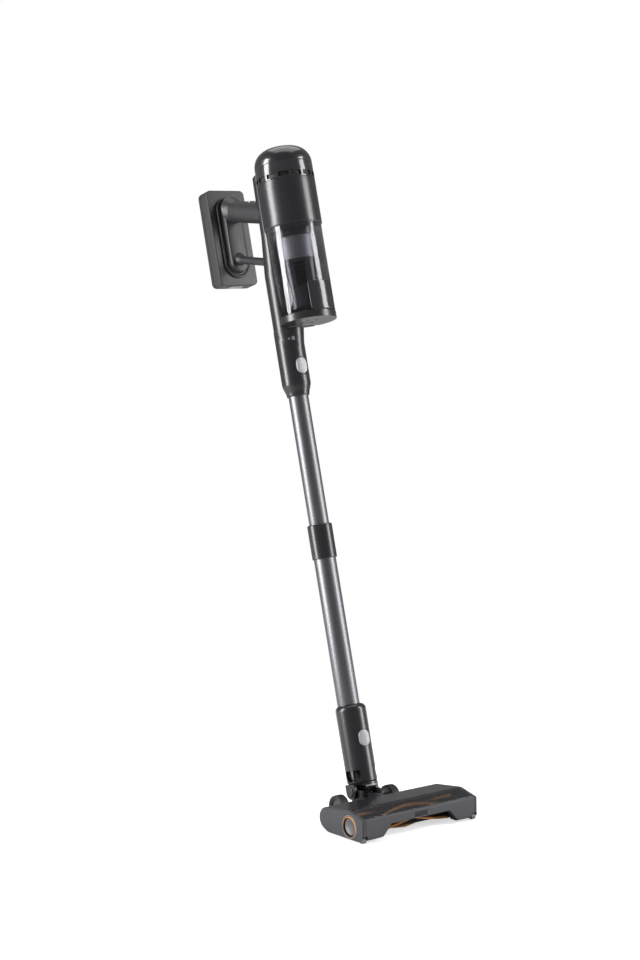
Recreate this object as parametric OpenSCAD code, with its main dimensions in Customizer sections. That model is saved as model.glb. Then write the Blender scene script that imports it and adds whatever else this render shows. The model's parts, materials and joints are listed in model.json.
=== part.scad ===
// Cordless stick vacuum: floor head, swivel neck, telescoping wand and hand unit.
// Millimetres, +Z up, front of the floor head towards -Y.
// The origin is on the floor, under the middle of the floor head.

/* [Stance] */
// Angle that the wand leans back from upright
stick_lean = 13.9; // [6:0.1:20]
// Distance from the head's middle back to the neck pivot
pivot_y = 96.2; // [92:0.2:104]
// Height of the neck pivot above the floor
pivot_z = 38.8; // [36:0.2:44]

/* [Floor head] */
// Width of the floor head from side to side
head_w = 240; // [190:1:300]
// Depth of the shell in front of the brush chamber
nose_t = 14.4; // [12:0.1:20]
// Distance from the head's middle to its rearmost curve
head_rear = 58; // [57:1:62]
// Height of the roof ridge above the brush chamber
ridge_t = 5.2; // [3.6:0.1:9]
// Drop from the roof ridge to the top edge of the front face
front_drop = 9.2; // [6:0.1:12]
// Thickness of the head's shell
head_wall = 2.4; // [1.6:0.1:3]
// Ground clearance under the sole plate
sole_gap = 3; // [2:0.1:3.4]
// Thickness of each end cap
cap_t = 6; // [4:0.5:8]

/* [Brush] */
// Radius over the bristle tips
brush_r = 19.6; // [16:0.1:24]
// Length of the bristles that shows above the core
bristle_h = 4.6; // [3:0.1:7]
// Gap between the bristle tips and the brush chamber
brush_gap = 2.4; // [1.5:0.1:3]
// Height of the bristle tips above the floor
brush_lift = 1.4; // [0.6:0.1:2.4]
// Distance from the head's middle forward to the brush axis
brush_fwd = 23.6; // [20:0.1:30]
// Number of bristle strips round the core
strips = 4; // [2:1:6]
// Width of the belt bay at the right end of the brush
belt_bay = 10; // [8:0.5:14]
// Step from the brush core down to its belt pulley
pulley_step = 3; // [2:0.1:5]
// Radius of the pulley on the brush motor
pinion_r = 5; // [4:0.1:7]
// Radius of the brush motor
brush_motor_r = 13; // [10:0.5:14]

/* [Wheels] */
// Radius of each rear wheel
wheel_r = 20.5; // [17:0.1:23]
// Width of each rear wheel
wheel_w = 16; // [10:0.5:20]
// Distance from the middle to the centre of each rear wheel
wheel_x = 54; // [52:0.5:64]
// Radius of the wheel axles
axle_r = 3; // [2:0.1:4]
// Radius of each front roller
roller_r = 5; // [4:0.1:6]
// Width of each front roller
roller_w = 8; // [5:0.5:10]

/* [Neck] */
// Radius of the swivel tube that turns in the head
swivel_r = 15; // [14.6:0.1:16]
// Height of the swivel axis above the floor
swivel_z = 23.6; // [22:0.2:25]
// Radius of the neck pivot pins
pin_r = 4; // [3:0.1:5]
// Outer radius of the corrugated hose
hose_r = 12.4; // [9:0.1:13]

/* [Wand] */
// Thickness of the lower connector round the lower tube
conn_wall = 7; // [6:0.1:10]
// Distance from the neck pivot up to the connector's shell
conn_start = 12; // [11:0.5:18]
// Length of the connector's shell
conn_len = 134; // [120:1:160]
// Gap between the two tubes
tube_gap = 0.5; // [0.3:0.1:1]
// Wall of the lower tube
low_tube_wall = 1.3; // [1:0.1:1.5]
// Length of lower tube between connector and collar
low_tube_len = 251; // [200:1:320]
// Thickness of the telescope collar round the lower tube
collar_wall = 2.4; // [2.2:0.1:5]
// Length of the telescope collar
collar_len = 59; // [45:1:70]
// Radius of the upper tube
up_tube_r = 17.2; // [14:0.1:21]
// Wall of the upper tube
up_tube_wall = 1.2; // [1:0.1:1.6]
// Length of upper tube that shows at full reach
up_tube_len = 224; // [180:1:260]
// Length of upper tube kept inside the lower tube at full reach
tube_overlap = 110; // [80:1:115]
// Distance that the wand telescopes
telescope_travel = 180; // [120:1:190]
// Length of tube that plugs into a socket
plug_len = 74; // [60:1:76]

/* [Hand unit] */
// Thickness of the neck socket round the upper tube
neck_wall = 7.8; // [7:0.1:11]
// Length of the neck socket
neck_len = 116; // [108:1:130]
// Distance from the wand's axis forward to the motor housing's side
body_gap = 14; // [12:0.5:20]
// Radius of the motor housing
housing_r = 50; // [42:0.1:60]
// Step from the motor housing in to the dust bin
bin_step = 2; // [1.2:0.1:4]
// Wall of the dust bin
bin_wall = 2; // [1.5:0.1:2.5]
// Height of the bin's bottom rim and door
rim_h = 12; // [10:0.5:14]
// Height of the dust bin
bin_h = 152; // [140:1:180]
// Height of the motor housing
housing_h = 80; // [76:1:100]
// Height of the vent band
grille_h = 12; // [10:0.5:16]
// Height of the dome cover
dome_h = 50; // [48:1:60]
// Radius of the dome's rounded edge
dome_edge = 30; // [24:0.5:34]
// Wall of the housing and dome
body_wall = 2.5; // [2:0.1:3]
// Number of vent slots
slots = 14; // [8:1:18]
// Angle that the bin door swings down
door_swing = 75; // [30:1:78]

/* [Grip] */
// Radius of the grip
grip_r = 19.1; // [17:0.1:20]
// Radius of the strut below the grip
strut_r = 7; // [6:0.1:9]
// Tilt of grip and strut up from the wand's cross plane
grip_tilt = 17.5; // [10:0.1:20]
// Distance from the housing's foot up to the grip's axis, at the wand axis
grip_up = 45.6; // [42:0.2:52]
// Distance from the grip's axis down to the strut's axis
grip_gap = 88.8; // [84:0.2:94]
// Distance from the wand axis back to the battery's front face
battery_y = 120; // [112:1:130]
// Width of the battery
battery_w = 80; // [76:1:92]
// Depth of the battery
battery_d = 34; // [30:1:40]
// Length of the battery
battery_l = 174; // [170:1:190]
// Distance that the battery's top stands above the dome cover's foot
battery_up = 30; // [26:1:32]
// Width of the handle pad
pad_w = 52; // [50:1:60]
// Length of the handle pad
pad_l = 148; // [140:1:156]
// Thickness of the handle pad
pad_t = 14; // [10:1:18]

/* [Buttons and fits] */
// Width of the wand's oval release buttons
button_w = 20.5; // [16:0.5:22]
// Height of the wand's oval release buttons
button_h = 28; // [22:0.5:32]
// Distance that a release button travels
button_travel = 2; // [1:0.1:2.4]
// Radius of the power and mode buttons
key_r = 6.5; // [5:0.1:8]
// Distance that the power and mode buttons travel
key_travel = 1.5; // [1:0.1:2]
// Distance that the door latch slides
latch_travel = 5; // [3:0.1:7]
// Radial clearance of a running fit
run_fit = 0.08; // [0.04:0.01:0.1]
// Gap between pieces that slide past each other
slide_gap = 0.35; // [0.2:0.05:0.5]

/* [Hidden] */
$fn = 96;

// sizes that follow from others, so that what fits keeps fitting
low_tube_r = up_tube_r + tube_gap + low_tube_wall;
collar_r = low_tube_r + collar_wall;
conn_r = low_tube_r + conn_wall;
neck_r = up_tube_r + neck_wall;
body_offset = housing_r + body_gap;
bin_r = housing_r - bin_step;
core_r = brush_r - bristle_h;
pulley_r = core_r - pulley_step;
chamber_r = brush_r + brush_gap;
brush_z = brush_r + brush_lift;
head_front = brush_fwd + chamber_r + nose_t;
ridge_h = brush_z + chamber_r + ridge_t;
front_h = ridge_h - front_drop;

// heights along the wand, measured from where its axis meets the floor
foot_y = pivot_y - pivot_z * tan(stick_lean);
z_pivot = pivot_z / cos(stick_lean);
z_conn = z_pivot + conn_start;
z_low_tube = z_conn + conn_len;
z_collar = z_low_tube + low_tube_len;
z_up_tube = z_collar + collar_len;
z_neck = z_up_tube + up_tube_len;
z_rim = z_neck + neck_len;
z_bin = z_rim + rim_h;
z_housing = z_bin + bin_h;
z_grille = z_housing + housing_h;
z_dome = z_grille + grille_h;
z_dome_top = z_dome + dome_h;
up_tube_end = z_up_tube - tube_overlap - collar_len / 10;

// hand unit details
collar_bore = up_tube_r + run_fit;
door_floor = 3;
door_hinge_y = -neck_r - 9;
door_hinge_z = z_rim + 1.5;
hinge_r = 1.4;
barrel_r = 2.6;
hinge_half = 20;
knuckle_half = hinge_half - 6;
door_rear = door_hinge_y - barrel_r - 0.6;
duct_r = 13;
inlet_z = z_bin + 42;
spine_r = neck_r - 0.7;
spine_low_end = z_housing - 64;
spine_top_r = 18.4;
spine_foot_r = 19.3;
spine_top = z_dome + 22;
latch_half_angle = 27;
latch_h = 50;
latch_t = 2.2;
mesh_r = bin_r - 15;
z_mesh = z_housing - 58;
mesh_h = 38;
skirt_t = 1.6;
z_skirt = z_bin + 12;
port_turn = 37;
port_w = 18;
port_h = 40;
plate_w = 20;
plate_h = 26;
neck_button_z = z_neck + 50;
low_button_z = z_low_tube - 58.5;
neck_button_face = neck_r + 1.4;
low_button_face = conn_r + 3.5 + 1.2;
button_depth = 5.5;
key_depth = 5;
key_proud = 1.2;
battery_top = z_dome + battery_up;
battery_mid = battery_top - battery_l / 2;
battery_wall = 2.5;
cell_r = 9.1;
cell_len = 65;
pad_mid = battery_mid;
key_from_spine = 18;
key_pitch = 17;
grip_z0 = z_housing + grip_up;
strut_z0 = grip_z0 - grip_gap;

// floor head details
split_z = 22;
cap_x = head_w / 2 - cap_t;
end_wall = 5;
brush_shaft_r = 4;
brush_end_r = core_r - 4;
brush_x0 = -cap_x + end_wall + 1;
brush_x1 = cap_x - end_wall - belt_bay;
pulley_x = brush_x1 + 1;
pulley_w = belt_bay - 2.5;
brush_motor_y = 20;
motor_z = swivel_z - 5;
cap_sole = 1.2;
lamp_z = 27;
ridge_y = -brush_fwd + 3.3;
socket_y = 40;
boss_wall = 2.4;
axle_y = pivot_y - 6;
axle_half = wheel_x + wheel_w / 2 - 2;
arm_t = 6;
arm_x = wheel_x - wheel_w / 2 - 2 - arm_t;
roller_x = cap_x + roller_w / 2 - 3;
roller_y = -head_front + roller_r + 2.6;
ring_r = 19.6;
ear_t = 5.4;
lug_t = 5;
tongue_h = 5;
nose_wall = 5;
opening_r = 15;
opening_h = 19;
lug_x = 15;
ear_x = lug_x + lug_t + slide_gap;
ear_r = 12;

// ---------- helpers ----------

module ring(r_out, r_in, h) {
    difference() {
        cylinder(r = r_out, h = h);
        translate([0, 0, -1]) cylinder(r = r_in, h = h + 2);
    }
}

// children drawn in the wand's own frame: z along the wand, y to the rear
module on_stick() {
    translate([0, foot_y, 0]) rotate([-stick_lean, 0, 0]) children();
}

// children drawn on the axis of bin and motor housing
module on_body(z = 0) {
    on_stick() translate([0, -body_offset, z]) children();
}

// children drawn on the grip's axis, z along the grip from the wand axis to the rear
module on_grip(z0) {
    translate([0, 0, z0]) rotate([grip_tilt - 90, 0, 0]) children();
}

// solid oval along -y, its front face at distance d from the axis
module oval_plug(w, h, z, face, depth) {
    r = w / 2;
    translate([0, -face, z]) rotate([-90, 0, 0]) linear_extrude(depth) {
        translate([0, (h - w) / 2]) circle(r);
        translate([0, (w - h) / 2]) circle(r);
        square([w, h - w], center = true);
    }
}

module rounded_rect(w, h, r) {
    square([w - 2 * r, h], center = true);
    square([w, h - 2 * r], center = true);
    for (x = [-1, 1], y = [-1, 1])
        translate([x * (w / 2 - r), y * (h / 2 - r)]) circle(r);
}

module racetrack(w, l) {
    square([w, l - w], center = true);
    for (s = [-1, 1]) translate([0, s * (l - w) / 2]) circle(w / 2);
}

// a profile drawn in the (y, z) plane, carried along x from x0 to x1
module along_x(x0, x1) {
    translate([x0, 0, 0]) rotate([90, 0, 90]) linear_extrude(x1 - x0) children();
}

module x_cylinder(r, x0, x1, y, z) {
    translate([x0, y, z]) rotate([0, 90, 0]) cylinder(r = r, h = x1 - x0);
}

// a quarter of a circle as points, centre c, radius r, from angle a0 to a1
function arc(c, r, a0, a1, n = 10) =
    [for (i = [0:n]) let (a = a0 + (a1 - a0) * i / n) c + r * [cos(a), sin(a)]];

// ---------- neck and spine ----------

module neck_outer(g = 0) {
    translate([0, 0, z_neck]) cylinder(r1 = up_tube_r + 2.4 + g, r2 = neck_r + g, h = 20);
    translate([0, 0, z_neck + 20]) cylinder(r = neck_r + g, h = neck_len - 20);
    translate([0, -3, z_rim - 34]) cylinder(r1 = neck_r - 3 + g, r2 = neck_r + 1.5 + g, h = 34);
}

module neck_socket() {
    color("#3f3f42") on_stick() difference() {
        neck_outer();
        translate([0, 0, z_neck - 1]) cylinder(r = up_tube_r + run_fit, h = plug_len + 7);
        translate([0, 0, z_neck + 3]) cylinder(r = duct_r, h = neck_len);
        oval_plug(button_w + 2 * slide_gap, button_h + 2 * slide_gap, neck_button_z,
            neck_r + 6, neck_r + 6 - pocket_floor(neck_button_face));
    }
}

// how far from the axis a button's pocket ends
function pocket_floor(face) = face - button_depth - button_travel - 0.3;

module duct_spine() {
    color("#414144") on_stick() difference() {
        union() {
            translate([0, 0, z_rim]) cylinder(r = spine_r, h = spine_low_end - z_rim);
            translate([0, 0, spine_low_end])
                cylinder(r1 = spine_r, r2 = spine_foot_r, h = z_housing + 6 - spine_low_end);
            translate([0, 0, z_housing + 6])
                cylinder(r1 = spine_foot_r, r2 = spine_top_r, h = spine_top - 4 - z_housing - 6);
            translate([0, 0, spine_top - 4]) cylinder(r1 = spine_top_r, r2 = spine_top_r - 4, h = 4);
        }
        translate([0, 0, z_rim - 1]) cylinder(r = duct_r, h = inlet_z + duct_r - z_rim);
        translate([0, 0, inlet_z]) rotate([90, 0, 0]) cylinder(r = duct_r - 2, h = 40);
        translate([0, -body_offset, z_bin]) cylinder(r = bin_r, h = z_housing - z_bin);
        translate([0, -body_offset, z_housing])
            cylinder(r = housing_r + slide_gap, h = spine_top + 2 - z_housing);
    }
}

// a round light and a small plain plate on the front left of the neck
module neck_marks() {
    color("#d8d8d8") on_stick() intersection() {
        difference() {
            neck_outer(0.4);
            neck_outer(0);
        }
        union() {
            rotate([0, 0, -36]) translate([0, 0, z_rim - 18]) rotate([90, 0, 0])
                cylinder(r = 1.6, h = 60);
            rotate([0, 0, -20]) translate([-2.6, -60, z_rim - 21]) cube([5.2, 60, 6]);
        }
    }
}

// ---------- motor housing and dome ----------

module motor_housing() {
    color("#3c3c3f") on_body(z_housing) {
        difference() {
            cylinder(r = housing_r, h = housing_h);
            translate([0, 0, 3]) cylinder(r = housing_r - body_wall, h = housing_h);
            translate([0, 0, -1]) cylinder(r = 16, h = 6);
        }
    }
}

module exhaust_grille() {
    color("#333336") on_body(z_grille) difference() {
        ring(housing_r, housing_r - body_wall, grille_h);
        for (i = [0:slots - 1])
            rotate([0, 0, (i + 0.5) * 360 / slots])
                translate([0, -housing_r, grille_h / 2])
                    cube([2 * PI * housing_r / slots - 4.5, 12, grille_h - 4], center = true);
    }
}

// half outline of the dome, from its foot to its crown, for an outer radius r and height h
function dome_outline(r, h, edge, crown) = concat(
    [[0, 0], [r, 0]],
    arc([r - edge, h - crown - edge], edge, 0, 78, 14),
    [[0, h]]);

module dome_cover() {
    color("#2b2b2e") on_body(z_dome) difference() {
        rotate_extrude() polygon(dome_outline(housing_r - 0.3, dome_h, dome_edge, 1.5));
        translate([0, 0, -0.01]) rotate_extrude()
            polygon(dome_outline(housing_r - 0.3 - body_wall, dome_h - body_wall, dome_edge, 1.5));
    }
}

module hepa_filter() {
    pleats = 36;
    outer = housing_r - 12;
    color("#e8e8e4") on_body(z_grille) {
        difference() {
            union() {
                linear_extrude(grille_h + 22) polygon([for (i = [0:2 * pleats - 1])
                    (outer - (i % 2) * 3) * [cos(i * 180 / pleats), sin(i * 180 / pleats)]]);
                cylinder(r = housing_r - body_wall - 0.4, h = 2.5);
            }
            translate([0, 0, -1]) cylinder(r = outer - 12, h = grille_h + 20);
        }
    }
}

module vacuum_motor() {
    color("#8b8b8f") on_body(z_housing) {
        translate([0, 0, 18]) ring(30, 9, 42);
        translate([0, 0, 60]) cylinder(r = 30, h = 2);
    }
}

module motor_mount() {
    color("#202022") on_body(z_housing) {
        translate([0, 0, 32]) ring(housing_r - body_wall, 30, 5);
        translate([0, 0, 50]) ring(housing_r - body_wall, 30, 4);
    }
}

module impeller() {
    blades = 9;
    color("#b4b4b8") on_body(z_housing) {
        translate([0, 0, 5]) cylinder(r = 34, h = 2);
        translate([0, 0, 6]) cylinder(r = 7, h = 41);
        for (i = [0:blades - 1])
            rotate([0, 0, i * 360 / blades + 3]) translate([5, 1, 6.5]) cube([26, 1.2, 7.5]);
    }
}

module control_board() {
    color("#2f5d3a") on_body(z_housing + housing_h - 12) {
        cylinder(r = housing_r - body_wall - 1, h = 1.6);
        translate([-18, -8, 1.6]) cube([12, 12, 2.4]);
        translate([6, -14, 1.6]) cube([16, 10, 5]);
        translate([4, 14, 1.6]) cylinder(r = 5, h = 7);
        translate([-20, 16, 1.6]) cylinder(r = 4, h = 6);
    }
}

// ---------- dust bin ----------

module dust_bin() {
    color([0.35, 0.35, 0.36, 0.45]) on_body(z_bin) difference() {
        cylinder(r = bin_r, h = bin_h);
        translate([0, 0, -1]) cylinder(r = bin_r - bin_wall, h = bin_h + 2);
        translate([0, bin_r - 10, inlet_z - z_bin]) rotate([-90, 0, 0])
            cylinder(r = duct_r - 2, h = 20);
    }
}

module bin_base() {
    color("#3a3a3d") on_stick() {
        difference() {
            translate([0, -body_offset, z_rim]) cylinder(r = bin_r + 0.5, h = rim_h);
            translate([-70, -body_offset - 70, z_rim - 1])
                cube([140, 70 + body_offset + door_hinge_y + barrel_r, rim_h * 0.45 + 1]);
            translate([-70, -body_offset - 70, z_rim - 1])
                cube([140, 70 + body_offset + door_rear + slide_gap, rim_h + 2]);
            translate([0, 0, z_rim - 1]) cylinder(r = spine_r, h = rim_h + 2);
            x_cylinder(barrel_r + slide_gap, -knuckle_half, knuckle_half, door_hinge_y, door_hinge_z);
        }
        for (x = [-1, 1])
            difference() {
                union() {
                    x_cylinder(barrel_r, x * (hinge_half - 3) - 3, x * (hinge_half - 3) + 3,
                        door_hinge_y, door_hinge_z);
                    translate([x * (hinge_half - 3) - 3, door_hinge_y, door_hinge_z - barrel_r])
                        cube([6, barrel_r + 1, 2 * barrel_r]);
                }
                x_cylinder(hinge_r, -40, 40, door_hinge_y, door_hinge_z);
            }
    }
}

module hinge_pin() {
    color("#a8a8aa") on_stick()
        x_cylinder(hinge_r, -hinge_half, hinge_half, door_hinge_y, door_hinge_z);
}

module bin_door() {
    knuckle = knuckle_half - slide_gap;
    color("#353538") on_stick() difference() {
        union() {
            difference() {
                translate([0, -body_offset, z_rim]) cylinder(r = bin_r + 0.5, h = rim_h - slide_gap);
                translate([0, -body_offset, z_rim + door_floor]) cylinder(r = bin_r - 6, h = rim_h);
                translate([-70, door_rear, z_rim - 1]) cube([140, 70, rim_h + 2]);
            }
            translate([-bin_r + 15, door_rear - 4, z_rim]) cube([2 * bin_r - 30, 4, rim_h - slide_gap]);
            translate([-knuckle, door_rear - 4, z_rim]) cube([2 * knuckle, barrel_r + 4.6, 3.5]);
            x_cylinder(barrel_r, -knuckle, knuckle, door_hinge_y, door_hinge_z);
        }
        for (x = [-15, 5]) translate([x, -body_offset - 16, z_rim - 1]) cylinder(r = 2.4, h = 3);
        translate([0, -body_offset + 4, z_rim - 1]) linear_extrude(2.4) rotate(90) racetrack(5, 26);
        x_cylinder(hinge_r + run_fit, -40, 40, door_hinge_y, door_hinge_z);
    }
}

module door_seal() {
    color("#1d1d1f") on_body(z_bin - slide_gap) difference() {
        ring(bin_r - bin_wall - 1.2, bin_r - 6, 2.2);
        translate([-70, body_offset + door_rear, -1]) cube([140, 70, 4]);
    }
}

module latch_shape(r_in, r_out, z0, z1) {
    intersection() {
        translate([0, -body_offset, z0]) ring(r_out, r_in, z1 - z0);
        translate([0, -body_offset, (z0 + z1) / 2]) rotate([90, 0, 0])
            linear_extrude(80) rounded_rect(2 * r_out * sin(latch_half_angle), z1 - z0, 7);
    }
}

module door_latch() {
    color("#262629") on_stick()
        latch_shape(bin_r + slide_gap, bin_r + slide_gap + latch_t, z_bin + 0.6, z_bin + latch_h);
}

module cyclone_cap() {
    color("#2a2a2c") on_body(z_housing - 20) difference() {
        union() {
            cylinder(r = mesh_r + 3, h = 20);
            translate([0, 0, 12]) cylinder(r = bin_r - bin_wall, h = 8);
        }
        translate([0, 0, -1]) cylinder(r = 16, h = 22);
    }
}

module cyclone_mesh() {
    color("#9c9c9e") on_body(z_mesh) {
        ring(mesh_r, mesh_r - 1.5, mesh_h);
        for (i = [0:5])
            rotate([0, 0, 60 * i]) translate([mesh_r - 1, -1.5, 0]) cube([2, 3, mesh_h]);
    }
}

// the drum under the mesh, with its lip, a port for the dirt and a plain plate below the port
module cyclone_skirt() {
    port_z = z_mesh - 6 - port_h;
    color("#3a3a3c") on_body() {
        difference() {
            union() {
                translate([0, 0, z_mesh - 3]) cylinder(r = mesh_r + 1.4, h = 3);
                translate([0, 0, z_skirt]) cylinder(r1 = mesh_r - 1, r2 = mesh_r, h = z_mesh - z_skirt);
            }
            translate([0, 0, z_skirt - 1])
                cylinder(r1 = mesh_r - 1 - skirt_t, r2 = mesh_r - skirt_t, h = z_mesh - z_skirt + 2);
            rotate([0, 0, -port_turn]) translate([-port_w / 2, -bin_r, port_z])
                cube([port_w, 30, port_h]);
        }
        intersection() {
            translate([0, 0, z_skirt]) ring(mesh_r + 0.8, mesh_r - 2, plate_h);
            rotate([0, 0, -port_turn]) translate([-plate_w / 2, -bin_r, z_skirt + 1])
                cube([plate_w, 30, plate_h]);
        }
    }
}

module pre_filter() {
    color("#6f7f8f") on_body(z_mesh + 2) ring(mesh_r - 4, 12, mesh_h - 4);
}

module inlet_duct() {
    reach = bin_r - bin_wall - mesh_r - 2.4;
    color("#1f1f21") on_stick() difference() {
        translate([-duct_r - 1, -body_offset + bin_r - bin_wall - reach, inlet_z - 15])
            cube([2 * duct_r + 2, reach + 1, 30]);
        difference() {
            translate([-40, -body_offset, inlet_z - 20]) cube([80, 80, 40]);
            translate([0, -body_offset, inlet_z - 30]) cylinder(r = bin_r - bin_wall, h = 60);
        }
        translate([0, 0, inlet_z]) rotate([90, 0, 0]) cylinder(r = duct_r - 2, h = 60);
    }
}

// ---------- handle and battery ----------

module spine_cut() {
    translate([0, 0, z_rim]) cylinder(r = spine_r, h = spine_low_end - z_rim);
    translate([0, 0, spine_low_end])
        cylinder(r1 = spine_r, r2 = spine_foot_r, h = z_housing + 6 - spine_low_end);
    translate([0, 0, z_housing + 6])
        cylinder(r1 = spine_foot_r, r2 = spine_top_r, h = spine_top - 4 - z_housing - 6);
}

// what a bar may not enter: the spine, the space before it and the handle pad
module bar_limits() {
    spine_cut();
    translate([-50, -60, z_rim]) cube([100, 60, 300]);
    translate([-50, battery_y - pad_t, z_rim]) cube([100, 80, 400]);
}

module handle_grip() {
    to_pad = (battery_y - pad_t) / cos(grip_tilt);
    color("#47474a") on_stick() difference() {
        on_grip(grip_z0) {
            cylinder(r = grip_r, h = to_pad + 20);
            translate([0, 0, to_pad - 14]) cylinder(r1 = grip_r, r2 = grip_r + 7, h = 22);
        }
        bar_limits();
        on_grip(grip_z0) for (i = [0, 1]) key_space(key_r + slide_gap, i);
    }
}

module handle_strut() {
    to_pad = (battery_y - pad_t) / cos(grip_tilt);
    color("#47474a") on_stick() difference() {
        on_grip(strut_z0) {
            cylinder(r = strut_r, h = to_pad + 20);
            translate([0, 0, to_pad - 9]) cylinder(r1 = strut_r, r2 = strut_r + 6, h = 13);
        }
        bar_limits();
    }
}

// the space a button takes in the top of the grip
module key_space(r, i) {
    translate([0, -grip_r + key_depth, spine_top_r + key_from_spine + i * key_pitch])
        rotate([90, 0, 0]) cylinder(r = r, h = key_depth + 10);
}

module key_button(i) {
    on_stick() on_grip(grip_z0)
        translate([0, -grip_r + key_depth - key_travel - 0.3,
            spine_top_r + key_from_spine + i * key_pitch])
            rotate([90, 0, 0]) {
                cylinder(r = key_r, h = key_depth - key_travel - 0.3 + key_proud - 0.6);
                translate([0, 0, key_depth - key_travel - 0.3 + key_proud - 0.6])
                    cylinder(r1 = key_r, r2 = key_r - 0.6, h = 0.6);
            }
}

module power_button() {
    color("#6a6a6d") key_button(0);
}

module mode_button() {
    color("#9a9a9d") key_button(1);
}

module handle_pad() {
    screw_r = 2.6;
    color("#404043") on_stick() difference() {
        union() {
            translate([0, battery_y, pad_mid]) rotate([90, 0, 0]) {
                linear_extrude(3.2) racetrack(pad_w, pad_l);
                linear_extrude(4.4) racetrack(pad_w - 2.4, pad_l - 2.4);
                linear_extrude(pad_t - 1.2) racetrack(pad_w - 16, pad_l - 16);
                linear_extrude(pad_t) racetrack(pad_w - 18.4, pad_l - 18.4);
            }
        }
        translate([0, battery_y, pad_mid]) rotate([90, 0, 0]) translate([0, 0, 3])
            linear_extrude(4) difference() {
                racetrack(pad_w - 8, pad_l - 8);
                racetrack(pad_w - 16, pad_l - 16);
            }
        for (s = [-1, 1])
            translate([0, battery_y, pad_mid + s * (pad_l / 2 - 16)]) rotate([90, 0, 0])
                translate([0, 0, 4]) cylinder(r = screw_r, h = 20);
    }
}

module battery_block(w, d, l, r_side, r_rear) {
    intersection() {
        translate([0, 0, 0]) rotate([-90, 0, 0]) linear_extrude(d) rounded_rect(w, l, r_side);
        translate([0, 0, -l / 2 - 1]) linear_extrude(l + 2) {
            translate([-w / 2, 0]) square([w, d - r_rear]);
            translate([-w / 2 + r_rear, 0]) square([w - 2 * r_rear, d]);
            for (x = [-1, 1]) translate([x * (w / 2 - r_rear), d - r_rear]) circle(r_rear);
        }
        translate([w / 2 + 1, 0, 0]) rotate([0, -90, 0]) linear_extrude(w + 2) {
            translate([-l / 2, 0]) square([l, d - r_rear]);
            translate([-l / 2 + r_rear, 0]) square([l - 2 * r_rear, d]);
            for (z = [-1, 1]) translate([z * (l / 2 - r_rear), d - r_rear]) circle(r_rear);
        }
    }
}

module battery_case() {
    color("#48484b") on_stick() translate([0, battery_y + slide_gap, battery_mid]) difference() {
        battery_block(battery_w, battery_d, battery_l, 9, 10);
        translate([0, battery_wall, 0]) battery_block(battery_w - 2 * battery_wall,
            battery_d - 2 * battery_wall, battery_l - 2 * battery_wall, 7, 7.5);
        translate([-13, 8, -battery_l / 2 - 1]) cube([26, 12, battery_wall + 2]);
    }
}

module battery_cells() {
    count = floor((battery_l - 2 * battery_wall - 8) / (2 * cell_r + 0.4));
    color("#3f7fae") on_stick()
        translate([0, battery_y + slide_gap + battery_d / 2, battery_mid])
            for (i = [0:count - 1])
                translate([-cell_len / 2, 0, (i - (count - 1) / 2) * (2 * cell_r + 0.4)])
                    rotate([0, 90, 0]) cylinder(r = cell_r, h = cell_len);
}

module battery_catch() {
    color("#9a9a9d") on_stick() translate([0, battery_y + slide_gap, battery_mid - battery_l / 2])
        translate([-13 + slide_gap, 8 + slide_gap, -1.4])
            cube([26 - 2 * slide_gap, 12 - 2 * slide_gap, 3.4]);
}

module wand_release_button() {
    color("#b9b9bc") on_stick() release_button(neck_button_face, neck_button_z);
}

module head_release_button() {
    color("#b9b9bc") on_stick() release_button(low_button_face, low_button_z);
}

// an oval push button with a stepped edge
module release_button(face, z) {
    oval_plug(button_w, button_h, z, face - 0.9, button_depth - 0.9);
    oval_plug(button_w - 1.6, button_h - 1.6, z, face, button_depth);
}

// ---------- wand ----------

module upper_tube() {
    color("#6f6f72") on_stick() translate([0, 0, up_tube_end])
        ring(up_tube_r, up_tube_r - up_tube_wall, z_neck + plug_len + 5 - up_tube_end);
}

module guide_bush() {
    color("#d0d0ce") on_stick() translate([0, 0, up_tube_end - 18]) difference() {
        union() {
            cylinder(r = low_tube_r - low_tube_wall - run_fit, h = 18);
            cylinder(r = up_tube_r - up_tube_wall, h = 34);
        }
        translate([0, 0, -1]) cylinder(r = up_tube_r - up_tube_wall - 2, h = 40);
    }
}

module lower_tube() {
    top = z_collar + 22;
    color("#68686b") on_stick() translate([0, 0, z_low_tube - plug_len])
        ring(low_tube_r, low_tube_r - low_tube_wall, top - z_low_tube + plug_len);
}

module telescope_collar() {
    color("#3d3d40") on_stick() difference() {
        union() {
            translate([0, 0, z_collar]) cylinder(r1 = collar_r - 0.8, r2 = collar_r, h = 0.8);
            translate([0, 0, z_collar + 0.8]) cylinder(r = collar_r, h = collar_len - 2);
            translate([0, 0, z_up_tube - 1.2]) cylinder(r1 = collar_r, r2 = collar_r - 1.2, h = 1.2);
            translate([-8, collar_r - 7, z_collar + 12]) cube([16, 10, 30]);
        }
        translate([0, 0, z_collar - 1]) cylinder(r = low_tube_r, h = 23);
        translate([0, 0, z_collar]) cylinder(r = collar_bore, h = collar_len + 2);
        translate([-5.5 - slide_gap, low_tube_r + 1, z_collar + 17])
            cube([11 + 2 * slide_gap, 20, 20]);
    }
}

module lock_button() {
    color("#a5a5a8") on_stick() translate([-5.5, low_tube_r + 1 + slide_gap, z_collar + 17.4])
        translate([0, 1.6, 0]) cube([11, 4, 19.2]);
}

// ---------- lower connector and neck ----------

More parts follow.
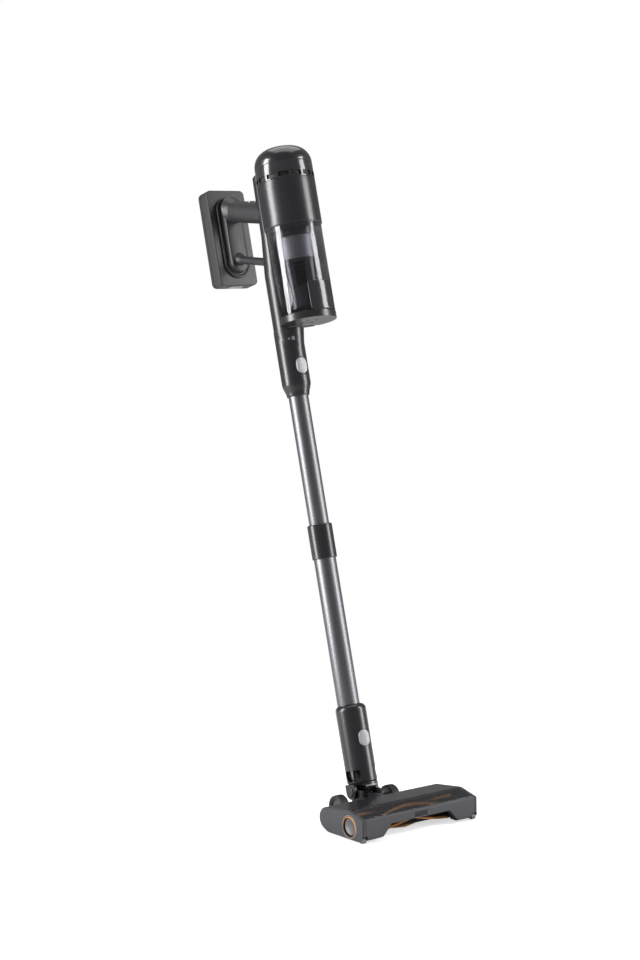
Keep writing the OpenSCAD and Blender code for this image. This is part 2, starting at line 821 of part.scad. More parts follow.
module lower_connector() {
    color("#3f3f42") on_stick() difference() {
        union() {
            translate([0, -3.5, z_conn + 4]) cylinder(r = conn_r, h = conn_len - 14);
            translate([0, -3.5, z_conn]) cylinder(r1 = conn_r - 3, r2 = conn_r, h = 4);
            translate([0, -3.5, z_low_tube - 10]) rotate_extrude() difference() {
                polygon(concat([[0, 0], [conn_r, 0]], arc([conn_r - 10, 0], 10, 0, 90), [[0, 10]]));
            }
            for (s = [-1, 1]) along_x(s > 0 ? ear_x : -ear_x - ear_t, s > 0 ? ear_x + ear_t : -ear_x) {
                translate([0, z_pivot]) circle(ear_r);
                translate([-ear_r, z_pivot]) square([2 * ear_r, conn_start + 1]);
            }
            intersection() {
                translate([0, -3.5, z_conn - tongue_h]) cylinder(r = conn_r - 0.4, h = tongue_h + 2);
                translate([-14, -conn_r - 10, z_conn - tongue_h]) cube([28, 18, tongue_h + 2]);
                translate([0, -40, z_conn + 10]) rotate([-90, 0, 0]) cylinder(r = 17, h = 60);
            }
        }
        translate([0, 0, z_low_tube - plug_len]) cylinder(r = low_tube_r + run_fit, h = plug_len + 1);
        translate([0, -1, z_conn - 20]) cylinder(r = ear_x, h = z_low_tube - plug_len - z_conn + 16);
        translate([0, 0, z_conn]) cylinder(r = duct_r, h = conn_len - 20);
        oval_plug(button_w + 2 * slide_gap, button_h + 2 * slide_gap, low_button_z,
            conn_r + 10, conn_r + 10 - pocket_floor(low_button_face));
        translate([0, -9, z_conn + 18]) rotate([90, 0, 90]) linear_extrude(120, center = true)
            intersection() {
                circle(opening_r);
                translate([-opening_r, 6 - opening_h]) square([2 * opening_r, opening_h]);
            }
        x_cylinder(pin_r, -60, 60, 0, z_pivot);
    }
}

module connector_rim() {
    color("#b9b9bb") on_stick() intersection() {
        translate([0, -3.5, z_conn - tongue_h]) ring(conn_r + 0.5, conn_r - 0.4, 2.4);
        translate([-11, -conn_r - 10, z_conn - 14]) cube([22, 14, 14]);
    }
}

module neck_pins() {
    color("#4a4a4d") on_stick() for (s = [-1, 1]) scale([s, 1, 1]) {
        x_cylinder(pin_r, lug_x - 1, ear_x + ear_t, 0, z_pivot);
        x_cylinder(8.4, ear_x + ear_t, ear_x + ear_t + 1.4, 0, z_pivot);
    }
}

// one ring of the hose: the bend runs from the head's tube round to the wand's axis
hose_bend = 90 - stick_lean;
hose_bend_r = 24;
hose_steps = 44;
hose_sides = 24;
hose_top_z = z_conn + 22;
hose_straight = (hose_top_z * cos(stick_lean) - swivel_z - hose_bend_r * (1 - cos(hose_bend)))
    / cos(stick_lean);
hose_start_y = foot_y + hose_top_z * sin(stick_lean) - hose_straight * sin(stick_lean)
    - hose_bend_r * sin(hose_bend);
hose_total = hose_bend_r * hose_bend * PI / 180 + hose_straight;

function hose_angle(s) = min(hose_bend, s / hose_bend_r * 180 / PI);
function hose_centre(s) =
    let (a = hose_angle(s), run = max(0, s - hose_bend_r * hose_bend * PI / 180))
    [0, hose_start_y + hose_bend_r * sin(a) + run * sin(stick_lean),
        swivel_z + hose_bend_r * (1 - cos(a)) + run * cos(stick_lean)];
function hose_ring(i) =
    let (s = hose_total * i / hose_steps, a = hose_angle(s), c = hose_centre(s),
        r = hose_r - (i % 2) * 1.8)
    [for (k = [0:hose_sides - 1]) let (p = 360 * k / hose_sides)
        c + r * [cos(p), sin(p) * -sin(a), sin(p) * cos(a)]];

module flex_hose() {
    n = hose_sides;
    points = [for (i = [0:hose_steps]) each hose_ring(i)];
    sides = [for (i = [0:hose_steps - 1], k = [0:n - 1])
        [i * n + k, i * n + (k + 1) % n, (i + 1) * n + (k + 1) % n, (i + 1) * n + k]];
    ends = [[for (k = [n - 1:-1:0]) k], [for (k = [0:n - 1]) hose_steps * n + k]];
    color("#232325") polyhedron(points, concat(sides, ends), convexity = 6);
}

module swivel_base() {
    color("#38383b") difference() {
        union() {
            translate([0, socket_y, swivel_z]) rotate([-90, 0, 0]) cylinder(r = swivel_r, h = 30);
            translate([0, head_rear + 1, swivel_z]) rotate([-90, 0, 0])
                cylinder(r = swivel_r + 1.6, h = 9);
            for (s = [-1, 1])
                along_x(s > 0 ? lug_x : -lug_x - lug_t, s > 0 ? lug_x + lug_t : -lug_x) {
                    translate([pivot_y, pivot_z]) circle(10);
                    translate([head_rear + 6, swivel_z - 11]) square([16, 22]);
                    translate([head_rear + 18, pivot_z - 19])
                        square([pivot_y - head_rear - 14, 12]);
                    translate([head_rear + 14, pivot_z - 14]) square([pivot_y - head_rear - 20, 20]);
                }
        }
        translate([0, socket_y - 1, swivel_z]) rotate([-90, 0, 0])
            cylinder(r = duct_r + 0.4, h = 60);
        x_cylinder(pin_r + run_fit, -60, 60, pivot_y, pivot_z);
    }
}

// ---------- floor head ----------

// side outline of the head as (y, z) points, grown inwards by g, with its sole at height sole
function head_outline(g, sole) = concat(
    [[-head_front + g, 6.7 + g], [-head_front + g, front_h - g * 0.5]],
    [[ridge_y - 3, ridge_h - 0.5 - g], [ridge_y + 3, ridge_h - 0.3 - g]],
    [[38, 41.5 - g]],
    arc([head_rear - 19, 22.5], 19 - g, 80, -64, 14),
    [[head_rear - 22, sole + g], [-head_front + 8, sole + g]]);

module head_side(g = 0, sole = sole_gap) {
    polygon(head_outline(g, sole));
}

module wheel_arms() {
    for (x = [arm_x, -arm_x - arm_t]) along_x(x, x + arm_t) {
        translate([axle_y, wheel_r]) circle(8);
        translate([head_rear - 20, wheel_r - 7]) square([axle_y - head_rear + 20, 14]);
    }
}

module head_base() {
    color("#39393c") difference() {
        union() {
            along_x(-cap_x, cap_x) intersection() {
                head_side();
                translate([-head_front + nose_wall, 0]) square([200, split_z]);
            }
            translate([0, socket_y - 6, swivel_z]) rotate([-90, 0, 0])
                cylinder(r = swivel_r + boss_wall, h = head_rear - socket_y + 6);
            wheel_arms();
        }
        x_cylinder(chamber_r, -cap_x + end_wall, cap_x - end_wall, -brush_fwd, brush_z);
        front_cut();
        x_cylinder(brush_end_r + run_fit, -cap_x - 1, 0, -brush_fwd, brush_z);
        x_cylinder(brush_shaft_r + run_fit, 0, cap_x + 1, -brush_fwd, brush_z);
        along_x(-cap_x + head_wall, cap_x - belt_bay - 4) intersection() {
            translate([8, sole_gap + head_wall]) square([socket_y - 16, 40]);
            head_side(head_wall);
        }
        along_x(pulley_x - 1, cap_x) translate([-brush_fwd, sole_gap + head_wall])
            square([brush_motor_y + brush_fwd + 14, 40]);
        translate([0, -brush_fwd, swivel_z]) rotate([-90, 0, 0]) cylinder(r = duct_r, h = 90);
        translate([0, socket_y - 1, swivel_z]) rotate([-90, 0, 0])
            cylinder(r = swivel_r + run_fit, h = 60);
        for (s = [-1, 1]) roller_space(s);
        x_cylinder(axle_r, -100, 100, axle_y, wheel_r);
    }
}

module head_cover() {
    color("#3d3d40") difference() {
        along_x(-cap_x, cap_x) difference() {
            intersection() {
                head_side();
                translate([ridge_y, split_z]) square([200, 100]);
            }
            intersection() {
                head_side(head_wall);
                translate([ridge_y + head_wall, 0]) square([200, 100]);
            }
        }
        translate([0, socket_y - 8, swivel_z]) rotate([-90, 0, 0])
            cylinder(r = swivel_r + boss_wall, h = 60);
        wheel_arms();
        x_cylinder(chamber_r, -cap_x - 1, cap_x + 1, -brush_fwd, brush_z);
    }
}

module brush_window() {
    color([0.25, 0.24, 0.24, 0.5]) along_x(-cap_x, cap_x) difference() {
        intersection() {
            head_side();
            translate([-head_front + nose_wall, split_z])
                square([ridge_y + head_front - nose_wall, 100]);
        }
        head_side(head_wall);
        translate([-brush_fwd, brush_z]) circle(chamber_r);
    }
}

// the low opening in the front face that lets larger dirt reach the brush
module front_cut() {
    top = 25;
    foot = head_w / 2 - 39;
    translate([0, -brush_fwd - 10, 0]) rotate([90, 0, 0]) linear_extrude(60)
        polygon([[-foot, -1], [-foot, 3], [-foot + 20, top], [foot - 20, top], [foot, 3], [foot, -1]]);
}

module front_bumper() {
    difference() {
        color("#59595d") along_x(-cap_x, cap_x) intersection() {
            head_side();
            translate([-head_front, 0]) square([nose_wall, 100]);
        }
        front_cut();
        for (s = [-1, 1]) roller_space(s);
        translate([-13, -head_front - 1, lamp_z]) cube([26, 3, 8]);
    }
}

module headlight() {
    color("#1a1a1c") translate([-12.8, -head_front + 0.3, lamp_z + 0.2])
        cube([25.6, 1.7, 7.6]);
}

module end_cap_left() {
    color("#4d4d51") difference() {
        union() {
            along_x(-head_w / 2 + 1.2, -cap_x) head_side(0, cap_sole);
            along_x(-head_w / 2, -cap_x) head_side(1.2, cap_sole);
        }
        x_cylinder(ring_r + slide_gap, -head_w, -cap_x - 2.4, -brush_fwd, brush_z + 0.8);
        x_cylinder(brush_end_r + 1, -head_w, 0, -brush_fwd, brush_z);
        roller_space(-1);
    }
}

module end_cap_right() {
    color("#4d4d51") difference() {
        union() {
            along_x(cap_x, head_w / 2 - 1.2) head_side(0, cap_sole);
            along_x(cap_x, head_w / 2) head_side(1.2, cap_sole);
        }
        x_cylinder(brush_shaft_r + run_fit, 0, cap_x + 3, -brush_fwd, brush_z);
        roller_space(1);
    }
}

module roller_space(s) {
    translate([s * roller_x - roller_w / 2 - 0.5, -head_front - 1, -1])
        cube([roller_w + 1, roller_r * 2 + 6, roller_r * 2 + 3]);
}

module side_ring() {
    color("#c98324") difference() {
        x_cylinder(ring_r, -head_w / 2 - 0.2, -cap_x - 2.4, -brush_fwd, brush_z + 0.8);
        x_cylinder(15.5, -head_w, 0, -brush_fwd, brush_z);
    }
}

module brush_core() {
    color("#b98a3c") difference() {
        union() {
            x_cylinder(core_r, brush_x0, brush_x1, -brush_fwd, brush_z);
            x_cylinder(brush_end_r, -cap_x - 1, brush_x0 + 1, -brush_fwd, brush_z);
            x_cylinder(pulley_r, brush_x1, pulley_x + pulley_w, -brush_fwd, brush_z);
            x_cylinder(brush_shaft_r, brush_x1, cap_x + 2.5, -brush_fwd, brush_z);
        }
        x_cylinder(6, -head_w, brush_x0 + 30, -brush_fwd, brush_z);
    }
}

module bristle_strips() {
    half = (brush_x1 - brush_x0) / 2 - 3;
    twist = 75;
    middle = (brush_x0 + brush_x1) / 2;
    color("#d08a2c") difference() {
        translate([middle, -brush_fwd, brush_z]) for (i = [0:strips - 1], s = [-1, 1])
            rotate([0, 90, 0]) rotate([0, 0, i * 360 / strips]) scale([1, 1, s])
                linear_extrude(half, twist = -twist, slices = 16, $fn = 8)
                    translate([core_r - 0.6, -2.2]) square([brush_r - core_r + 0.4, 4.4]);
        x_cylinder(core_r, brush_x0 - 1, brush_x1 + 1, -brush_fwd, brush_z);
    }
}

module brush_motor() {
    color("#77777a") {
        x_cylinder(brush_motor_r - 4, pulley_x - 64, pulley_x - 14, brush_motor_y, motor_z);
        x_cylinder(brush_motor_r - 9, pulley_x - 14, pulley_x - 8, brush_motor_y, motor_z);
    }
}

module motor_pulley() {
    color("#a0a0a3") {
        x_cylinder(pinion_r, pulley_x, pulley_x + pulley_w, brush_motor_y, motor_z);
        x_cylinder(2, pulley_x - 7.5, pulley_x, brush_motor_y, motor_z);
    }
}

module drive_belt() {
    gap = 0.3;
    t = 1.4;
    reach = brush_motor_y + brush_fwd;
    drop = motor_z - brush_z;
    span = sqrt(reach * reach + drop * drop);
    wrap = asin((pulley_r - pinion_r) / span);
    color("#161618") translate([pulley_x + 1, -brush_fwd, brush_z])
        rotate([atan2(drop, reach), 0, 0]) rotate([90, 0, 90]) linear_extrude(pulley_w - 2)
            difference() {
                belt_shape(pulley_r + gap + t, pinion_r + gap + t, span, wrap);
                belt_shape(pulley_r + gap, pinion_r + gap, span, wrap);
            }
}

// outline of a belt round two pulleys a span apart
module belt_shape(r1, r2, span, wrap) {
    polygon(concat(arc([0, 0], r1, 90 - wrap, 270 + wrap, 24),
        arc([span, 0], r2, -90 + wrap, 90 - wrap, 14)));
}

// ---------- wheels ----------

module front_roller(s) {
    x = s * roller_x;
    color("#8f8f92") {
        x_cylinder(roller_r, x - roller_w / 2, x + roller_w / 2, roller_y, roller_r);
    }
}

module rear_wheel(s) {
    x0 = wheel_x - wheel_w / 2;
    x1 = wheel_x + wheel_w / 2;
    color("#2e2e30") scale([s, 1, 1]) difference() {
        union() {
            translate([x0, axle_y, wheel_r]) rotate([0, 90, 0]) rotate_extrude()
                polygon(concat([[0, 0]], arc([wheel_r - 3, 3], 3, -90, 0, 6),
                    arc([wheel_r - 3, wheel_w - 3], 3, 0, 90, 6), [[0, wheel_w]]));
        }
        x_cylinder(wheel_r - 6, x1 - 4, x1 + 1, axle_y, wheel_r);
        x_cylinder(axle_r + run_fit, 0, 100, axle_y, wheel_r);
    }
}

module rear_axles() {
    color("#9c9ca0") for (s = [-1, 1]) scale([s, 1, 1]) {
        x_cylinder(axle_r, arm_x + 0.2, axle_half, axle_y, wheel_r);
        x_cylinder(axle_r + 2, axle_half - 1.8, axle_half - 0.4, axle_y, wheel_r);
    }
}

module front_roller_left() {
    front_roller(-1);
}

module front_roller_right() {
    front_roller(1);
}

module rear_wheel_left() {
    rear_wheel(-1);
}

module rear_wheel_right() {
    rear_wheel(1);
}

neck_socket();
duct_spine();
motor_housing();
exhaust_grille();
vacuum_motor();
motor_mount();
control_board();
hepa_filter();
dust_bin();
bin_base();
cyclone_cap();
cyclone_mesh();
cyclone_skirt();
pre_filter();
inlet_duct();
hinge_pin();
handle_grip();
handle_strut();
handle_pad();
neck_marks();
dome_cover();
impeller();
bin_door();
door_seal();
door_latch();
wand_release_button();
power_button();
mode_button();
battery_case();
battery_cells();
battery_catch();
upper_tube();
guide_bush();
lower_tube();
telescope_collar();
lock_button();
lower_connector();
connector_rim();
head_release_button();
flex_hose();
neck_pins();
swivel_base();
head_base();
head_cover();
brush_window();
front_bumper();
end_cap_left();
end_cap_right();
side_ring();
headlight();
brush_motor();
drive_belt();
motor_pulley();
brush_core();
bristle_strips();
front_roller_left();
front_roller_right();
rear_wheel_left();
rear_wheel_right();
rear_axles();
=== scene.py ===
"""Looks of a cordless stick vacuum: floor head, swivel neck, telescoping wand and hand unit.

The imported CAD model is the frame. Each sub-assembly is a class that reads its places from the
frame's nodes and joints, works in millimetres in its own local axes, and makes metre meshes.
"""

import json
import logging
import math
from dataclasses import dataclass, field
from enum import Enum

import bmesh
import bpy
import numpy as np
from mathutils import Matrix, Vector

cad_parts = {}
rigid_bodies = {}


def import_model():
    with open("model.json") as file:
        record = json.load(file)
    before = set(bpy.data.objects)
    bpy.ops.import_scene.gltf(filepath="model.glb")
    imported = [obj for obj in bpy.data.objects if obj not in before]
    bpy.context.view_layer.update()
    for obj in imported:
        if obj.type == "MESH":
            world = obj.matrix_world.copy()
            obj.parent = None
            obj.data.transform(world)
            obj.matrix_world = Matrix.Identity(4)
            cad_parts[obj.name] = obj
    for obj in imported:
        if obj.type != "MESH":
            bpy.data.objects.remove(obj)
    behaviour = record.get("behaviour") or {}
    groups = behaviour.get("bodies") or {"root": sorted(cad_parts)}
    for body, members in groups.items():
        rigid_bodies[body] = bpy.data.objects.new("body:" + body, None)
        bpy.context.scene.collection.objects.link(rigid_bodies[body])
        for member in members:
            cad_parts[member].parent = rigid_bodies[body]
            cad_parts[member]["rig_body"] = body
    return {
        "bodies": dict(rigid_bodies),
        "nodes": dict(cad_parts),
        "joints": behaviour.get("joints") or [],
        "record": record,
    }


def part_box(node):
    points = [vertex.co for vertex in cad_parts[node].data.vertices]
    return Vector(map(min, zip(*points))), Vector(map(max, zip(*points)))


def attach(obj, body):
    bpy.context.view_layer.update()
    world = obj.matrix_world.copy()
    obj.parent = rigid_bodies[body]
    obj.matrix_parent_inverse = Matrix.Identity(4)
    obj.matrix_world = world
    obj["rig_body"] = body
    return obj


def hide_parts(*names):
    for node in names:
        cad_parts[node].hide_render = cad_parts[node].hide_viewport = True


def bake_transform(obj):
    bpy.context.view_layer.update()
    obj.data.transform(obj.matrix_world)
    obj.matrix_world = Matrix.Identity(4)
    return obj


LOG = logging.getLogger("stick_vacuum")
MM = 0.001
TAU = 2.0 * math.pi

# points nearer than this, in metres, become one
MERGE = 2e-6
# degrees between two faces of a CAD piece: below FLAT they merge, above CRISP their edge is
# rounded, and above SMOOTH it is shaded sharp
FLAT = 0.6
CRISP = 35.0
SMOOTH = 30.0


# ---------------------------------------------------------------- finishes


def linear(code: str) -> tuple[float, float, float, float]:
    """Turns an sRGB hex colour into linear light.

    Args:
        code: a colour such as "#3a3a3c".
    Returns:
        red, green, blue in linear light, and an alpha of 1.
    """
    shares = [int(code[i : i + 2], 16) / 255 for i in (1, 3, 5)]
    light = [c / 12.92 if c <= 0.04045 else ((c + 0.055) / 1.055) ** 2.4 for c in shares]
    return (light[0], light[1], light[2], 1.0)


def add_node(
    tree: bpy.types.NodeTree, kind: str, values: dict | None = None, links: dict | None = None
) -> bpy.types.Node:
    """Adds one shader node with its settings and its incoming links.

    Args:
        tree: the node tree.
        kind: Blender's name for the node.
        values: settings by name, either a property of the node or one of its input sockets.
        links: output sockets by the name of the input that each one feeds.
    Returns:
        The new node.
    """
    node = tree.nodes.new(kind)
    for key, value in (values or {}).items():
        if isinstance(key, str) and hasattr(node, key):
            setattr(node, key, value)
        else:
            node.inputs[key].default_value = value
    for key, socket in (links or {}).items():
        tree.links.new(socket, node.inputs[key])
    return node


@dataclass(frozen=True)
class Finish:
    """A material: what it is, how its surface was made, and the record's slot it belongs to."""

    name: str
    slot: str
    colour: str
    roughness: float = 0.4
    metallic: float = 0.0
    ior: float = 1.5
    coat: float = 0.0
    coat_roughness: float = 0.1
    sheen: float = 0.0

    def material(self) -> bpy.types.Material:
        """Gives the finish's material, made the first time it is asked for."""
        found = bpy.data.materials.get(self.name)
        if found:
            return found
        made = bpy.data.materials.new(self.name)
        made.use_nodes = True
        made.node_tree.nodes.clear()
        made.diffuse_color = linear(self.colour)
        tree = made.node_tree
        values = {
            "Base Color": linear(self.colour),
            "Roughness": self.roughness,
            "Metallic": self.metallic,
            "Coat Weight": self.coat,
            "Coat Roughness": self.coat_roughness,
            "Sheen Weight": self.sheen,
        }
        if not self.metallic:
            values["IOR"] = self.ior
        shader = add_node(tree, "ShaderNodeBsdfPrincipled", values)
        surface = self.pattern(tree, shader)
        add_node(tree, "ShaderNodeOutputMaterial", links={"Surface": surface})
        return made

    def pattern(self, tree: bpy.types.NodeTree, shader: bpy.types.Node) -> bpy.types.NodeSocket:
        """Adds the finish's pattern to its shader and gives the socket that is the surface."""
        return shader.outputs[0]


@dataclass(frozen=True)
class Moulded(Finish):
    """Injection-moulded plastic or rubber with a spark-eroded grain and faint flow clouds."""

    grain_mm: float = 1.1
    grain_deep_mm: float = 0.03
    cloud_mm: float = 45.0
    cloud_share: float = 0.12

    def pattern(self, tree: bpy.types.NodeTree, shader: bpy.types.Node) -> bpy.types.NodeSocket:
        """A fine bump for the grain, and slow clouds that shift the gloss and the tone a little."""
        place = add_node(tree, "ShaderNodeTexCoord").outputs["Object"]
        grain = add_node(
            tree,
            "ShaderNodeTexNoise",
            {"Scale": 1 / (self.grain_mm * MM), "Detail": 2.0, "Roughness": 0.6},
            {"Vector": place},
        )
        bump = add_node(
            tree,
            "ShaderNodeBump",
            {"Strength": 1.0, "Distance": self.grain_deep_mm * MM},
            {"Height": grain.outputs["Fac"]},
        )
        cloud = add_node(
            tree,
            "ShaderNodeTexNoise",
            {"Scale": 1 / (self.cloud_mm * MM), "Detail": 3.0},
            {"Vector": place},
        ).outputs["Fac"]
        gloss = add_node(
            tree,
            "ShaderNodeMapRange",
            {
                "To Min": self.roughness * (1 - self.cloud_share),
                "To Max": self.roughness * (1 + self.cloud_share),
            },
            {"Value": cloud},
        )
        base = linear(self.colour)
        low = tuple(c * (1 - self.cloud_share * 0.6) for c in base[:3]) + (1.0,)
        high = tuple(min(1.0, c * (1 + self.cloud_share * 0.6)) for c in base[:3]) + (1.0,)
        tone = add_node(
            tree,
            "ShaderNodeMix",
            {"data_type": "RGBA", 6: low, 7: high},
            {0: cloud},
        )
        tree.links.new(tone.outputs[2], shader.inputs["Base Color"])
        tree.links.new(gloss.outputs["Result"], shader.inputs["Roughness"])
        tree.links.new(bump.outputs["Normal"], shader.inputs["Normal"])
        return shader.outputs[0]


@dataclass(frozen=True)
class Drawn(Finish):
    """Metal drawn or brushed along one axis: long thin lines that stretch each highlight."""

    line_mm: float = 0.5
    run_mm: float = 70.0
    turn: tuple[float, float, float] = (0.0, 0.0, 0.0)
    depth_mm: float = 0.01
    share: float = 0.25

    def pattern(self, tree: bpy.types.NodeTree, shader: bpy.types.Node) -> bpy.types.NodeSocket:
        """Noise squeezed across the drawing direction gives the lines their tone and relief."""
        place = add_node(tree, "ShaderNodeTexCoord").outputs["Object"]
        along = add_node(
            tree,
            "ShaderNodeMapping",
            {
                "vector_type": "TEXTURE",
                "Rotation": self.turn,
                "Scale": (self.line_mm * MM, self.line_mm * MM, self.run_mm * MM),
            },
            {"Vector": place},
        )
        lines = add_node(
            tree,
            "ShaderNodeTexNoise",
            {"Scale": 1.0, "Detail": 4.0, "Roughness": 0.65},
            {"Vector": along.outputs[0]},
        ).outputs["Fac"]
        gloss = add_node(
            tree,
            "ShaderNodeMapRange",
            {
                "To Min": self.roughness * (1 - self.share),
                "To Max": self.roughness * (1 + self.share),
            },
            {"Value": lines},
        )
        base = linear(self.colour)
        low = tuple(c * (1 - self.share * 0.5) for c in base[:3]) + (1.0,)
        high = tuple(min(1.0, c * (1 + self.share * 0.5)) for c in base[:3]) + (1.0,)
        tone = add_node(tree, "ShaderNodeMix", {"data_type": "RGBA", 6: low, 7: high}, {0: lines})
        bump = add_node(
            tree,
            "ShaderNodeBump",
            {"Strength": 0.6, "Distance": self.depth_mm * MM},
            {"Height": lines},
        )
        tree.links.new(tone.outputs[2], shader.inputs["Base Color"])
        tree.links.new(gloss.outputs["Result"], shader.inputs["Roughness"])
        tree.links.new(bump.outputs["Normal"], shader.inputs["Normal"])
        return shader.outputs[0]


@dataclass(frozen=True)
class Clear(Finish):
    """Smoked polycarbonate, polished: a tinted pane that mirrors at its edges and lets lamps in."""

    tint: str = "#8c8c90"
    wave_mm: float = 30.0
    wave_deep_mm: float = 0.015

    def pattern(self, tree: bpy.types.NodeTree, shader: bpy.types.Node) -> bpy.types.NodeSocket:
        """Glass for sight, a tinted pass for shadow rays, and a slow mould wave in the polish."""
        shader.inputs["Transmission Weight"].default_value = 1.0
        place = add_node(tree, "ShaderNodeTexCoord").outputs["Object"]
        wave = add_node(
            tree,
            "ShaderNodeTexNoise",
            {"Scale": 1 / (self.wave_mm * MM), "Detail": 1.0},
            {"Vector": place},
        )
        bump = add_node(
            tree,
            "ShaderNodeBump",
            {"Strength": 0.5, "Distance": self.wave_deep_mm * MM},
            {"Height": wave.outputs["Fac"]},
        )
        tree.links.new(bump.outputs["Normal"], shader.inputs["Normal"])
        ray = add_node(tree, "ShaderNodeLightPath")
        lamp = add_node(tree, "ShaderNodeBsdfTransparent", {"Color": linear(self.tint)})
        mix = add_node(
            tree,
            "ShaderNodeMixShader",
            links={
                0: ray.outputs["Is Shadow Ray"],
                1: shader.outputs[0],
                2: lamp.outputs[0],
            },
        )
        return mix.outputs[0]


@dataclass(frozen=True)
class Pierced(Finish):
    """Etched steel sheet rolled into a drum: rows of small dark holes between bright bars."""

    pitch_mm: float = 2.4
    turn: tuple[float, float, float] = (0.0, 0.0, 0.0)
    centre: tuple[float, float, float] = (0.0, 0.0, 0.0)
    radius_mm: float = 33.0

    def pattern(self, tree: bpy.types.NodeTree, shader: bpy.types.Node) -> bpy.types.NodeSocket:
        """Holes where the product of a wave round the drum and a wave along it is high."""
        place = add_node(tree, "ShaderNodeTexCoord").outputs["Object"]
        local = add_node(
            tree,
            "ShaderNodeMapping",
            {
                "vector_type": "TEXTURE",
                "Location": self.centre,
                "Rotation": self.turn,
                "Scale": (MM, MM, MM),
            },
            {"Vector": place},
        )
        parts = add_node(tree, "ShaderNodeSeparateXYZ", links={0: local.outputs[0]})
        angle = add_node(
            tree,
            "ShaderNodeMath",
            {"operation": "ARCTAN2"},
            {0: parts.outputs["Y"], 1: parts.outputs["X"]},
        )
        count = round(TAU * self.radius_mm / self.pitch_mm)
        around = add_node(
            tree, "ShaderNodeMath", {"operation": "MULTIPLY", 1: count}, {0: angle.outputs[0]}
        )
        up = add_node(
            tree,
            "ShaderNodeMath",
            {"operation": "MULTIPLY", 1: TAU / self.pitch_mm},
            {0: parts.outputs["Z"]},
        )
        waves = [
            add_node(tree, "ShaderNodeMath", {"operation": "SINE"}, {0: n.outputs[0]})
            for n in (around, up)
        ]
        holes = add_node(
            tree,
            "ShaderNodeMath",
            {"operation": "MULTIPLY"},
            {0: waves[0].outputs[0], 1: waves[1].outputs[0]},
        )
        share = add_node(
            tree,
            "ShaderNodeMapRange",
            {"From Min": -0.25, "From Max": 0.25},
            {"Value": holes.outputs[0]},
        )
        base = linear(self.colour)
        dark = tuple(c * 0.12 for c in base[:3]) + (1.0,)
        tone = add_node(
            tree,
            "ShaderNodeMix",
            {"data_type": "RGBA", 6: dark, 7: base},
            {0: share.outputs["Result"]},
        )
        tree.links.new(tone.outputs[2], shader.inputs["Base Color"])
        return shader.outputs[0]


@dataclass(frozen=True)
class Fibrous(Finish):
    """Paper, foam or nylon: a soft scatter of fibres or cells, light on top with painted shade between."""

    cell_mm: float = 0.8
    deep_mm: float = 0.3
    shade_share: float = 0.45

    def pattern(self, tree: bpy.types.NodeTree, shader: bpy.types.Node) -> bpy.types.NodeSocket:
        """Voronoi cells darken their own borders with painted shade and sink them."""
        place = add_node(tree, "ShaderNodeTexCoord").outputs["Object"]
        cells = add_node(
            tree, "ShaderNodeTexVoronoi", {"Scale": 1 / (self.cell_mm * MM)}, {"Vector": place}
        ).outputs["Distance"]
        base = linear(self.colour)
        # painted shade: the hollows between fibres or cells are darkened in the colour
        dark = tuple(c * self.shade_share for c in base[:3]) + (1.0,)
        tone = add_node(tree, "ShaderNodeMix", {"data_type": "RGBA", 6: base, 7: dark}, {0: cells})
        bump = add_node(
            tree,
            "ShaderNodeBump",
            {"Strength": 0.8, "Distance": self.deep_mm * MM, "invert": True},
            {"Height": cells},
        )
        tree.links.new(tone.outputs[2], shader.inputs["Base Color"])
        tree.links.new(bump.outputs["Normal"], shader.inputs["Normal"])
        return shader.outputs[0]


# ---------------------------------------------------------------- places


@dataclass(frozen=True)
class Placement:
    """A local frame in millimetres: an origin and three axes, in the part's own frame."""

    origin: np.ndarray
    axes: np.ndarray

    def world(self, points: np.ndarray) -> np.ndarray:
        """Local millimetres to metres in the part's frame."""
        return (self.origin + points @ self.axes.T) * MM

    def local(self, points: np.ndarray) -> np.ndarray:
        """Metres in the part's frame to local millimetres."""
        return (points / MM - self.origin) @ self.axes

    def moved(self, x: float = 0.0, y: float = 0.0, z: float = 0.0) -> "Placement":
        """The same axes with the origin moved along them."""
        return Placement(self.origin + self.axes @ np.array([x, y, z]), self.axes)

    def box(self, node: bpy.types.Object) -> tuple[np.ndarray, np.ndarray]:
        """Lowest and highest corner of a CAD node in this frame."""
        points = np.empty(len(node.data.vertices) * 3)
        node.data.vertices.foreach_get("co", points)
        inside = self.local(points.reshape(-1, 3))
        return inside.min(0), inside.max(0)


@dataclass
class Frame:
    """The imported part, with the wand's axes worked out from its joints."""

    packed: dict
    stick: Placement = field(init=False)
    head: Placement = field(init=False)
    lean: float = field(init=False)

    def __post_init__(self) -> None:
        """The wand's axis comes from the telescope joint, and passes the neck's pivot."""
        up = np.array(self.joint("telescope")["axis"], float)
        pivot = np.array(self.joint("neck_pitch")["pos_m"], float) / MM
        self.lean = math.atan2(up[1], up[2])
        axes = np.array([[1, 0, 0], [0, up[2], up[1]], [0, -up[1], up[2]]], float)
        self.stick = Placement(pivot - up * pivot[2] / up[2], axes)
        self.head = Placement(np.zeros(3), np.eye(3))

    def joint(self, name: str) -> dict:
        """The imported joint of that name."""
        return next(j for j in self.packed["joints"] if j["name"] == name)

    def node(self, name: str) -> bpy.types.Object:
        """The CAD node of that name."""
        return self.packed["nodes"][name]

    def body_of(self, node: str) -> str:
        """The body that a CAD node rides on."""
        return self.node(node)["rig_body"]


# ---------------------------------------------------------------- surfaces


